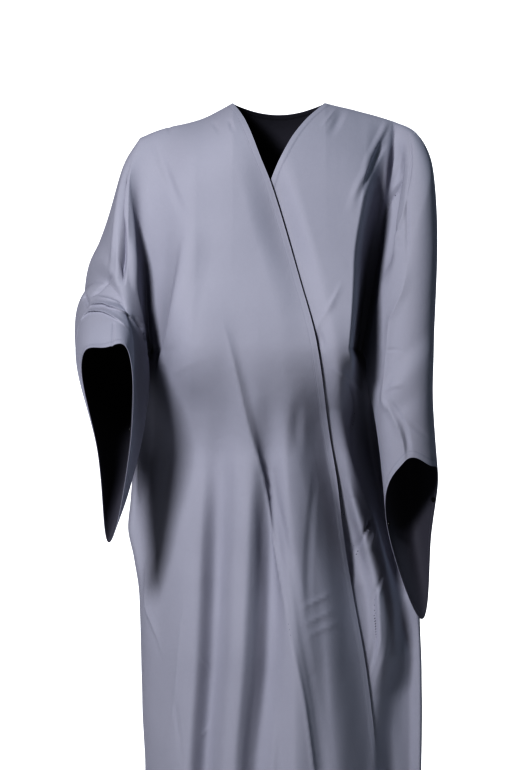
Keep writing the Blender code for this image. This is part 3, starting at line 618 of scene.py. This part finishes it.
sleeveLeftCreases = {
    "armholeTrough": ([(202, 70, 0), (200, 120, -8), (193, 180, -12), (183, 250, -10),
        (172, 310, 0)], 26, "soft"),
    "shoulderPress": ([(217, 48, 0), (220, 85, -3), (219, 113, -4), (214, 155, -3.2),
        (212, 192, -2.8), (212, 237, -2.6), (213, 278, 0)], (6, 8), "crisp"),
    "pinchFold": ([(210, 98, 0), (202, 128, -7), (192, 151, -9), (184, 176, -4),
        (179, 195, 0)], (6, 5), "crisp"),
    "pinchFoldLight": ([(204, 83, 0), (192, 120, 3), (182, 154, 3), (176, 177, 0)], 8, "soft"),
    "capLine": ([(198, 47, 0), (191, 68, -2), (188, 89, 0)], 6, "soft"),
    "innerLight": ([(220, 131, 0), (209, 185, 2.6), (196, 228, 2.6), (186, 274, 0)], 8, "crisp"),
    "elbowWrinkleUpper": ([(187, 225, 0), (198, 221, -2.2), (208, 232, 0)], 6, "soft"),
    "elbowWrinkleLower": ([(185, 242, 0), (196, 241, -1.6), (207, 251, 0)], 6, "soft"),
    "armPress": ([(213, 276, 0), (206, 319, 3.4), (193, 352, 4), (184, 375, 4.4), (181, 418, 4.4),
        (176, 471, 4.4), (173, 505, 4), (178, 525, 0)], (16, 14), "crisp"),
    "cuffPress": ([(173, 501, 0), (186, 526, 3.4), (199, 553, 3.8), (207, 578, 3.6),
        (210, 608, 0)], (14, 5), "crisp"),
    "cuffPressShade": ([(181, 503, 0), (199, 531, -2.6), (210, 561, -2.8),
        (217, 598, 0)], 8, "soft"),
    "forearmPress": ([(174, 423, 0), (190, 421, -1.6), (208, 423, 0)], 6, "crisp"),
    "forearmWrinkleUpper": ([(174, 491, 0), (190, 481, 2), (209, 478, 0)], 7, "soft"),
    "forearmWrinkleLower": ([(205, 533, 0), (228, 551, -1.8), (253, 570, 0)], 8, "soft"),
}
backCreases = {
    "shoulderBladeRight": ([(-200, 150, 0), (-160, 175, 2.2), (-110, 190, 0)], 16, "soft"),
    "shoulderBladeLeft": ([(160, 130, 0), (120, 160, 2.2), (70, 178, 0)], 16, "soft"),
    "waistPullRight": ([(-205, 420, 0), (-150, 440, 3), (-90, 430, 0)], 14, "soft"),
    "waistPullLeft": ([(135, 410, 0), (90, 440, 3), (30, 445, 0)], 14, "soft"),
    "middlePress": ([(20, 500, 0), (28, 650, 2), (14, 900, 2.4), (6, 1150, 1.8),
        (0, 1420, 0)], 12, "crisp"),
    "seatFoldRight": ([(-170, 560, 0), (-120, 600, -3), (-70, 610, 0)], 18, "soft"),
    "seatFoldLeft": ([(150, 570, 0), (100, 612, -3), (50, 622, 0)], 18, "soft"),
    "calfPressRight": ([(-90, 960, 0), (-98, 1060, 1.6), (-110, 1160, 0)], 9, "crisp"),
    "calfPressLeft": ([(130, 900, 0), (120, 1010, 1.6), (126, 1120, 0)], 9, "crisp"),
}


creaseSteps = {
    "facing": 0.02,  # a crease lies only on cloth that looks its way at least this much
    "perPoint": 7,
    "longest": 0.007,
    "rounds": 3,
}


def creaseLine(path, points, normals, faceSign):
    # the crease's path rounded between its points, then laid on the piece
    candidates = points[(normals[..., 1] * faceSign) > creaseSteps["facing"]]
    path = metres(path)
    steps = np.linalg.norm(np.diff(path[:, :2], axis=0), axis=1)
    length = np.concatenate([[0.0], np.cumsum(steps)])
    count = max(creaseSteps["perPoint"] * len(path), int(length[-1] / creaseSteps["longest"]))
    fine = np.linspace(0.0, length[-1], count)
    x, drop, height = (ease(length, path[:, k], fine) for k in range(3))
    y = np.zeros(count)
    for i in range(count):
        away = (candidates[:, 0] - x[i]) ** 2 + (candidates[:, 2] + drop[i]) ** 2
        y[i] = candidates[away.argmin(), 1]
    for _ in range(creaseSteps["rounds"]):
        y[1:-1] = (y[:-2] + 2 * y[1:-1] + y[2:]) / 4
    return np.stack([x, y, -drop, height], axis=-1)


def addCreases(points, normals, creases, faceSign):
    # moves a piece's points by the creases on one face
    flat, facings = points.reshape(-1, 3), normals.reshape(-1, 3)
    move = np.zeros(flat.shape)
    for path, reach, shape, *lip in creases.values():
        reach = metres(reach if isinstance(reach, tuple) else (reach, reach))
        line = creaseLine(path, points, normals, faceSign)
        low = line[:, :3].min(axis=0) - max(reach)
        high = line[:, :3].max(axis=0) + max(reach)
        near = np.where(np.all((flat > low) & (flat < high), axis=1))[0]
        if not len(near):
            continue
        spots, outward = flat[near], facings[near]
        best = np.full(len(near), np.inf)
        height = np.zeros(len(near))
        onLeft = np.zeros(len(near), bool)
        rightward = np.zeros((len(near), 3))
        for a, b in zip(line[:-1], line[1:]):
            way = b[:3] - a[:3]
            t = np.clip(((spots - a[:3]) @ way) / max(way @ way, 1e-12), 0, 1)
            offset = spots - a[:3] - t[:, None] * way
            away = np.linalg.norm(offset, axis=1)
            closer = away < best
            best = np.where(closer, away, best)
            height = np.where(closer, a[3] + (b[3] - a[3]) * t, height)
            left = (np.cross(way, offset) * outward).sum(axis=1) > 0
            onLeft = np.where(closer, left, onLeft)
            rightward = np.where(closer[:, None], np.cross(way, outward), rightward)
        share = np.clip(best / np.where(onLeft, reach[1], reach[0]), 0, 1)
        profile = (1 - share) ** 2 if shape == "crisp" else bell(share)
        move[near] += outward * (height * profile)[:, None]
        if lip:
            leaning = metres(lip) * height / np.abs(line[:, 3]).max() * profile
            move[near] += unit(rightward) * leaning[:, None]
    return points + move.reshape(points.shape)


waves = {
    "count": 26,
    "shortest": 0.035,
    "longest": 0.16,
    "spread": (1.0, 0.8, 0.35),  # along x, y, z: mostly long upright waves
    "drift": 0.6,
    "driftLength": 0.31,
}


def hang(points, normals, seed, height):
    # faint uneven hanging of the cloth
    maker = np.random.default_rng(seed)
    rise = np.zeros(points.shape[:2])
    for _ in range(waves["count"]):
        size = maker.uniform(waves["shortest"], waves["longest"])
        way = unit(np.array([maker.normal() * part for part in waves["spread"]]))
        phase = maker.uniform(0, 2 * math.pi)
        drift = np.sin(points @ (way[[2, 0, 1]] * 2 * math.pi / waves["driftLength"]) + phase)
        wave = np.sin(points @ (way * 2 * math.pi / size) + phase + waves["drift"] * drift)
        rise += size / waves["longest"] * wave
    return points + normals * (rise / np.abs(rise).max() * height)[..., None]


def weldArmhole(tube, front, rear, rearColumn):
    # the sleeve's first ring and the body's armhole become one line
    high = layout["rowsAbove"] + 1
    count = tube.shape[1]
    down = np.arange(high)
    up = (count - down) % count
    total, share = tube[0].copy(), np.ones((count, 1))
    np.add.at(total, down, front[down, -1])
    np.add.at(share, down, 1.0)
    np.add.at(total, up, rear[down, rearColumn])
    np.add.at(share, up, 1.0)
    line = total / share
    tube[0] = line
    front[down, -1] = line[down]
    rear[down, rearColumn] = line[up]


softening = {
    "lowFade": 0.07,  # above the underarm
    "highFade": 0.03,  # below the shoulder
    "taper": 0.5,
    "pull": 0.9,
}


def softenArmhole(tube, front, rear, rearColumn, width, rounds):
    # lets body and sleeve run into each other in one soft valley
    high = layout["rowsAbove"] + 1
    count = tube.shape[1]
    ring = np.arange(count)
    onFront = ring < high
    row = np.where(onFront, ring, (count - ring) % count)
    inward = np.arange(1, width + 1)
    frontPlaces = (-1 - inward)[None]
    rearPlaces = (inward if rearColumn == 0 else -1 - inward)[None]
    frontStrip, rearStrip = front[row[:, None], frontPlaces], rear[row[:, None], rearPlaces]
    body = np.where(onFront[:, None, None], frontStrip, rearStrip)
    sleeve = tube[1: width + 1].transpose(1, 0, 2)
    strip = np.concatenate([body[:, ::-1], tube[0][:, None], sleeve], axis=1)
    drop = rowDrops()[row]
    strength = smooth((robe["underarm"] - drop) / softening["lowFade"])
    strength = strength * smooth(drop / softening["highFade"])
    taper = np.sin(np.linspace(0, math.pi, 2 * width + 1))[1:-1] ** softening["taper"]
    for _ in range(rounds):
        bend = (strip[:, :-2] + strip[:, 2:]) / 2 - strip[:, 1:-1]
        strip[:, 1:-1] += bend * softening["pull"] * (strength[:, None] * taper)[..., None]
    body = strip[:, :width][:, ::-1]
    tube[0] = strip[:, width]
    tube[1: width + 1] = strip[:, width + 1:].transpose(1, 0, 2)
    forward, backward = ring[onFront], ring[~onFront]
    front[row[forward][:, None], frontPlaces] = body[forward]
    front[row[forward], -1] = strip[forward, width]
    rear[row[backward][:, None], rearPlaces] = body[backward]
    rear[row[backward], rearColumn] = strip[backward, width]
    rear[0, rearColumn], rear[high - 1, rearColumn] = tube[0][0], tube[0][high - 1]


def stepLengths(points, axis):
    step = np.linalg.norm(np.diff(points, axis=axis), axis=-1)
    shape = list(points.shape[:2])
    shape[axis] = 1
    return np.concatenate([np.zeros(shape), np.cumsum(step, axis=axis)], axis=axis)


def hemMap(kind, points):
    # for each point: distance to the nearest finished edge, and way along it
    acrossRow, downColumn = stepLengths(points, 1), stepLengths(points, 0)
    toHem = downColumn[-1:] - downColumn
    if kind == "sleeve":
        return toHem, acrossRow
    if kind == "front":
        nearer = acrossRow < toHem
        along = np.where(nearer, downColumn[:, :1], acrossRow)
        return np.where(nearer, acrossRow, toHem), along
    onNeck = np.abs(points[:1, :, 0]) < robe["neckHalf"] + cloth["neckMargin"]
    return np.minimum(np.where(onNeck, downColumn, 1.0), toHem), acrossRow


def shareNormals(tube, front, rear, rearColumn):
    # neighbouring pieces get one normal at their seams, so the light runs over
    weldArmhole(tube, front, rear, rearColumn)
    below = slice(layout["rowsAbove"] + 1, None)
    line = front[below, -1] + rear[below, rearColumn]
    front[below, -1], rear[below, rearColumn] = line, line
    for grid in (front, rear, tube):
        grid[:] = unit(grid)


def clothPiece(name, points, normals, kind, flip, material):
    # a closed shell: outer face on the points, inner face one wall behind it
    rows, columns = points.shape[:2]
    closed = kind == "sleeve"
    away, along = hemMap(kind, points)
    hem = smooth((cloth["hemWidth"] - away) / cloth["hemFade"] + 0.5)
    wall = cloth["wall"] + (cloth["hemWall"] - cloth["wall"]) * hem
    count = rows * columns
    inner = points - normals * wall[..., None]
    places = np.concatenate([points.reshape(-1, 3), inner.reshape(-1, 3)])
    grid = np.arange(count).reshape(rows, columns)
    if closed:
        grid = np.concatenate([grid, grid[:, :1]], axis=1)
    corners = grid[:-1, :-1], grid[1:, :-1], grid[1:, 1:], grid[:-1, 1:]
    quads = np.stack(corners, axis=-1).reshape(-1, 4)
    rims = [(grid[0, 1:], grid[0, :-1]), (grid[-1, :-1], grid[-1, 1:])]
    if not closed:
        rims += [(grid[:-1, 0], grid[1:, 0]), (grid[1:, -1], grid[:-1, -1])]
    first = np.concatenate([start for start, _ in rims])
    last = np.concatenate([stop for _, stop in rims])
    rim = np.stack([last, first, first + count, last + count], axis=-1)
    faces = np.concatenate([quads, quads[:, ::-1] + count, rim])
    if flip:
        faces = faces[:, ::-1]
    mesh = bpy.data.meshes.new(name)
    mesh.from_pydata(places.tolist(), [], faces.tolist())
    mesh.shade_smooth()

    # the third value is 1 on the cloth's inner side, where the finish paints shade
    spots = np.zeros((2 * count, 3), np.float32)
    spots[:, 0], spots[:, 1] = np.tile(away.ravel(), 2), np.tile(along.ravel(), 2)
    spots[count:, 2] = 1.0
    hemSpots = mesh.attributes.new("hemMap", "FLOAT_VECTOR", "POINT")
    hemSpots.data.foreach_set("vector", spots.ravel())

    # the rims are sharp, and the faces keep the normals shared with their neighbours
    ends = np.zeros(2 * len(mesh.edges), int)
    mesh.edges.foreach_get("vertices", ends)
    ends = np.sort(ends.reshape(-1, 2), axis=1)
    edge = np.sort(np.stack([first, last], axis=1), axis=1)
    edge = np.concatenate([edge, edge + count])
    sharp = np.isin(ends[:, 0] * 2 * count + ends[:, 1], edge[:, 0] * 2 * count + edge[:, 1])
    mesh.attributes.new("sharp_edge", "BOOLEAN", "EDGE").data.foreach_set("value", sharp)
    facing = np.concatenate([normals.reshape(-1, 3), -normals.reshape(-1, 3)])[faces.ravel()]
    facing[8 * len(quads):] = 0.0
    mesh.normals_split_custom_set(facing.tolist())
    mesh.materials.append(material)
    shell = bpy.data.objects.new(name, mesh)
    shell.shadow_terminator_geometry_offset = cloth["shadowOffset"]
    bpy.context.scene.collection.objects.link(shell)
    return shell


# Node helpers for the finishes
def feed(tree, socket, value):
    if isinstance(value, bpy.types.NodeSocket):
        tree.links.new(value, socket)
    elif value is not None:
        socket.default_value = value


def node(tree, kind, **values):
    made = tree.nodes.new(kind)
    for key, value in values.items():
        if key in made.inputs.keys():
            feed(tree, made.inputs[key], value)
        else:
            setattr(made, key, value)
    return made


def maths(tree, operation, a, b=None, clamp=False):
    made = node(tree, "ShaderNodeMath", operation=operation, use_clamp=clamp)
    feed(tree, made.inputs[0], a)
    feed(tree, made.inputs[1], b)
    return made.outputs[0]


def noise(tree, place, settings):
    return node(tree, "ShaderNodeTexNoise", Vector=place, **settings).outputs["Fac"]


def mix(tree, share, a, b):
    made = node(tree, "ShaderNodeMix", data_type="RGBA", Factor=share, A=a, B=b)
    return made.outputs["Result"]


def newFinish(name):
    made = bpy.data.materials.new(name)
    made.use_nodes = True
    return made, made.node_tree, made.node_tree.nodes["Principled BSDF"]


crepe = {
    "light": (0.285, 0.287, 0.340, 1.0),
    "dark": (0.254, 0.257, 0.308, 1.0),
    "threadAndGrooveShade": (0.222, 0.225, 0.275, 1.0),
    "innerShade": (0.055, 0.054, 0.070, 1.0),  # painted shade: the inner side is painted near black, for the shade inside cuffs, sleeves and neck
    "surface": {
        "Sheen Weight": 0.22,
        "Sheen Roughness": 0.45,
        "Sheen Tint": (0.80, 0.82, 1.0, 1.0),
        "Specular IOR Level": 0.28,
    },
    "roughness": 0.66,
    "grainRoughness": 0.16,
    "grain": {"Scale": 1150.0, "Detail": 2.0, "Roughness": 0.55},  # grains to the metre
    "threadSquash": 0.42,
    "dye": {"Scale": 5.0, "Detail": 3.0, "Roughness": 0.5},
    "rumple": {"Scale": 34.0, "Detail": 4.0, "Roughness": 0.55, "Distortion": 0.4},
    "dyeShare": 0.55,
    "grainShare": 0.45,
    "toneFrom": 0.30,
    "toneGain": 2.4,
    "stitchRow": 0.0012,  # distance from the hem's inner edge
    "stitch": 0.0034,
    "stitchWidth": 0.0006,
    "dashShift": 0.55,
    "dashGain": 3.0,
    "grooveWidth": 0.0022,
    "grooveShade": 0.45,
    "grooveDepth": 0.9,
    "threadShade": 0.8,
    "threadHeight": 0.5,
    "hemOver": 0.0006,
    "hemSteepness": 900.0,
    "lieBump": {"Strength": 0.30, "Distance": 0.0022},
    "hemBump": {"Strength": 0.8, "Distance": 0.0007},
    "grainBump": {"Strength": 0.35, "Distance": 0.0003},
}


def crepeMaterial(name):
    made, tree, shader = newFinish(name)
    for key, value in crepe["surface"].items():
        shader.inputs[key].default_value = value
    place = node(tree, "ShaderNodeTexCoord").outputs["Object"]

    # grain: short warp and weft threads crossing, broken up as in crepe
    squash = crepe["threadSquash"]
    grains = []
    for scale in ((1.0, 1.0, squash), (squash, squash, 1.0)):
        threads = node(tree, "ShaderNodeMapping", Vector=place, Scale=scale).outputs["Vector"]
        grains.append(noise(tree, threads, crepe["grain"]))
    grain = maths(tree, "MAXIMUM", *grains)

    # slow unevenness of dye and lie
    dye = maths(tree, "MULTIPLY", noise(tree, place, crepe["dye"]), crepe["dyeShare"])
    rumple = noise(tree, place, crepe["rumple"])
    tone = maths(tree, "ADD", dye, maths(tree, "MULTIPLY", grain, crepe["grainShare"]))
    tone = maths(tree, "SUBTRACT", tone, crepe["toneFrom"])
    tone = maths(tree, "MULTIPLY", tone, crepe["toneGain"], clamp=True)
    colour = mix(tree, tone, crepe["dark"], crepe["light"])

    # turned hem: a ridge where the cloth doubles, with a row of stitches on it and painted shade in
    # the groove at its inner edge
    hem = node(tree, "ShaderNodeAttribute", attribute_name="hemMap").outputs["Vector"]
    parts = node(tree, "ShaderNodeSeparateXYZ", Vector=hem)
    away, along = parts.outputs["X"], parts.outputs["Y"]
    offset = maths(tree, "SUBTRACT", away, cloth["hemWidth"] - crepe["stitchRow"])
    offset = maths(tree, "ABSOLUTE", offset)
    row = maths(tree, "DIVIDE", offset, crepe["stitchWidth"])
    row = maths(tree, "SUBTRACT", 1.0, row, clamp=True)
    wave = maths(tree, "SINE", maths(tree, "MULTIPLY", along, 2 * math.pi / crepe["stitch"]))
    dash = maths(tree, "ADD", wave, crepe["dashShift"])
    dash = maths(tree, "MULTIPLY", dash, crepe["dashGain"], clamp=True)
    stitch = maths(tree, "MULTIPLY", row, dash)
    groove = maths(tree, "DIVIDE", offset, crepe["grooveWidth"])
    groove = maths(tree, "SUBTRACT", 1.0, groove, clamp=True)
    doubled = maths(tree, "SUBTRACT", cloth["hemWidth"] + crepe["hemOver"], away)
    doubled = maths(tree, "MULTIPLY", doubled, crepe["hemSteepness"], clamp=True)
    # painted shade: the groove along the hem's inner edge is darkened toward the thread colour,
    # beside the darker stitches
    shade = maths(tree, "MAXIMUM", stitch, maths(tree, "MULTIPLY", groove, crepe["grooveShade"]))
    shade = maths(tree, "MULTIPLY", shade, crepe["threadShade"])
    colour = mix(tree, shade, colour, crepe["threadAndGrooveShade"])
    # painted shade: the cloth's inner side is mixed to a near black colour, for the shade inside
    # cuffs, sleeves and neck
    colour = mix(tree, parts.outputs["Z"], colour, crepe["innerShade"])
    tree.links.new(colour, shader.inputs["Base Color"])
    rough = maths(tree, "MULTIPLY", grain, crepe["grainRoughness"])
    rough = maths(tree, "ADD", rough, crepe["roughness"])
    tree.links.new(rough, shader.inputs["Roughness"])

    # relief, from slow to fine
    ridge = maths(tree, "SUBTRACT", doubled, maths(tree, "MULTIPLY", groove, crepe["grooveDepth"]))
    ridge = maths(tree, "ADD", ridge, maths(tree, "MULTIPLY", stitch, crepe["threadHeight"]))
    relief = None
    for height, bump in ((rumple, "lieBump"), (ridge, "hemBump"), (grain, "grainBump")):
        layer = node(tree, "ShaderNodeBump", Height=height, Normal=relief, **crepe[bump])
        relief = layer.outputs["Normal"]
    tree.links.new(relief, shader.inputs["Normal"])
    return made


snapFinish = {
    "colour": (0.010, 0.010, 0.012, 1.0),
    "worn": (0.030, 0.030, 0.034, 1.0),
    "metallic": 0.35,
    "roughness": 0.24,
    "speckleRoughness": 0.2,
    "speckle": {"Scale": 1500.0, "Detail": 3.0},
}


def snapMaterial(name):
    made, tree, shader = newFinish(name)
    shader.inputs["Metallic"].default_value = snapFinish["metallic"]
    place = node(tree, "ShaderNodeTexCoord").outputs["Object"]
    speckle = noise(tree, place, snapFinish["speckle"])
    colour = mix(tree, speckle, snapFinish["colour"], snapFinish["worn"])
    tree.links.new(colour, shader.inputs["Base Color"])
    rough = maths(tree, "MULTIPLY", speckle, snapFinish["speckleRoughness"])
    rough = maths(tree, "ADD", rough, snapFinish["roughness"])
    tree.links.new(rough, shader.inputs["Roughness"])
    return made


crepeCloth = crepeMaterial("slateCrepe")
blackSnap = snapMaterial("blackSnap")

# face is -1 for a piece whose creases are on its front, 1 on its back; hang is the
# height of its faint waves; flat and area are the sizes of its cut
pieces = {
    "frontRightCloth": {
        "solid": "front_right", "kind": "front", "grid": frontGrid(-1, layout["rightColumns"]),
        "flip": False, "creases": frontRightCreases, "face": -1, "seed": 3, "hang": 0.0012,
        "flat": (0.50, 1.43), "area": 0.57},
    "frontLeftCloth": {
        "solid": "front_left", "kind": "front", "grid": frontGrid(1, layout["leftColumns"]),
        "flip": True, "creases": frontLeftCreases, "face": -1, "seed": 5, "hang": 0.0010,
        "flat": (0.46, 1.43), "area": 0.48},
    "backCloth": {
        "solid": "back", "kind": "back", "grid": backGrid(layout["backColumns"]),
        "flip": False, "creases": backCreases, "face": 1, "seed": 8, "hang": 0.0016,
        "flat": (0.80, 1.43), "area": 0.94},
    "sleeveRightCloth": {
        "solid": "sleeve_right", "kind": "sleeve", "grid": sleeveGrid(-1),
        "flip": True, "creases": sleeveRightCreases, "face": -1, "seed": 13, "hang": 0.0012,
        "flat": (0.86, 0.60), "area": 0.24},
    "sleeveLeftCloth": {
        "solid": "sleeve_left", "kind": "sleeve", "grid": sleeveGrid(1),
        "flip": False, "creases": sleeveLeftCreases, "face": -1, "seed": 21, "hang": 0.0012,
        "flat": (0.86, 0.60), "area": 0.24},
}


def facing(piece):
    return gridNormals(piece["grid"], piece["kind"] == "sleeve", piece["flip"])


for piece in pieces.values():
    normals = facing(piece)
    creased = addCreases(piece["grid"], normals, piece["creases"], piece["face"])
    piece["grid"] = hang(creased, normals, piece["seed"], piece["hang"])
print("creases placed")

# sleeve, front, the back's column beside them, width and rounds of the softening
seams = [
    ("sleeveRightCloth", "frontRightCloth", 0, 12, 60),
    ("sleeveLeftCloth", "frontLeftCloth", -1, 6, 4),
]
for sleeve, front, rearColumn, width, rounds in seams:
    grids = [pieces[name]["grid"] for name in (sleeve, front, "backCloth")]
    weldArmhole(*grids, rearColumn)
    softenArmhole(*grids, rearColumn, width, rounds)
    below = slice(layout["rowsAbove"], None)
    line = (grids[1][below, -1] + grids[2][below, rearColumn]) / 2
    grids[1][below, -1], grids[2][below, rearColumn] = line, line
facings = {name: facing(piece) for name, piece in pieces.items()}
for sleeve, front, rearColumn, *_ in seams:
    shareNormals(facings[sleeve], facings[front], facings["backCloth"], rearColumn)
print("seams closed")

for name, piece in pieces.items():
    shell = clothPiece(name, piece["grid"], facings[name], piece["kind"], not piece["flip"],
                       crepeCloth)
    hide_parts(piece["solid"])
    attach(shell, "root")
for name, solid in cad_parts.items():
    if name.startswith("snap"):
        solid.data.materials.clear()
        solid.data.materials.append(blackSnap)
print("cloth made")

# Each lamp: place, where it looks, size, power, colour
studio = {
    "lamps": {
        "keyLight": ((-1.20, -2.12, 0.70), (-0.02, -0.08, -0.6), 0.5, 66.0, (1.0, 1.0, 1.0)),
        "rimLight": ((2.1, -0.27, 1.52), (-0.02, -0.08, -0.6), 0.9, 13.0, (0.78, 0.92, 1.0)),
        "backLight": ((0.5, 2.8, 0.9), (0.0, 0.0, -0.6), 1.6, 26.0, (1.0, 1.0, 1.0)),
    },
    "ambient": 0.006,
    "ambientColour": (0.90, 0.93, 1.0, 1.0),
    "backdrop": (1.0, 1.0, 1.0, 1.0),
    "floorDrop": 1.436,
    "floorRadius": 1.85,
    "floorColour": (0.86, 0.86, 0.86, 1.0),
    "floorRoughness": 0.8,
}


def lamp(name, place, target, size, power, colour):
    light = bpy.data.lights.new(name, "AREA")
    light.size = size
    light.energy = power
    light.color = colour
    made = bpy.data.objects.new(name, light)
    bpy.context.scene.collection.objects.link(made)
    made.location = place
    away = np.array(place) - np.array(target)
    tilt = math.atan2(math.hypot(away[0], away[1]), away[2])
    made.rotation_euler = (tilt, 0.0, math.atan2(away[1], away[0]) + math.pi / 2)
    made.visible_camera = False


for name, settings in studio["lamps"].items():
    lamp(name, *settings)

# the camera sees a white backdrop, and the cloth a faint sky
world = bpy.data.worlds.new("studioWorld")
bpy.context.scene.world = world
world.use_nodes = True
tree = world.node_tree
tree.nodes.clear()
seen = node(tree, "ShaderNodeBackground", Color=studio["backdrop"], Strength=1.0)
cast = node(tree, "ShaderNodeBackground", Color=studio["ambientColour"], Strength=studio["ambient"])
ray = node(tree, "ShaderNodeLightPath")
both = node(tree, "ShaderNodeMixShader")
out = node(tree, "ShaderNodeOutputWorld")
tree.links.new(ray.outputs["Is Camera Ray"], both.inputs[0])
tree.links.new(cast.outputs[0], both.inputs[1])
tree.links.new(seen.outputs[0], both.inputs[2])
tree.links.new(both.outputs[0], out.inputs["Surface"])

bpy.ops.mesh.primitive_circle_add(vertices=96, radius=studio["floorRadius"], fill_type="NGON",
                                  location=(0, 0, -studio["floorDrop"]))
floor = bpy.context.object
floor.name = "paleFloor"
pale, _, shader = newFinish("paleFloor")
shader.inputs["Base Color"].default_value = studio["floorColour"]
shader.inputs["Roughness"].default_value = studio["floorRoughness"]
floor.data.materials.append(pale)

bpy.context.scene.view_settings.view_transform = "Standard"
bpy.context.scene.view_settings.look = "Very High Contrast"

view = {
    "place": (-0.038, -4.0, -0.4796),
    "sensor": 36.0,
    "tall": 770.0 / 588.0,  # metres of the garment that the picture's height takes in
}
camera = bpy.data.cameras.new("camera")
camera.sensor_fit = "VERTICAL"
camera.sensor_height = view["sensor"]
camera.lens = view["sensor"] * -view["place"][1] / view["tall"]
viewer = bpy.data.objects.new("camera", camera)
bpy.context.scene.collection.objects.link(viewer)
viewer.location = view["place"]
viewer.rotation_euler = (math.pi / 2, 0.0, 0.0)
bpy.context.scene.camera = viewer
print("studio set")
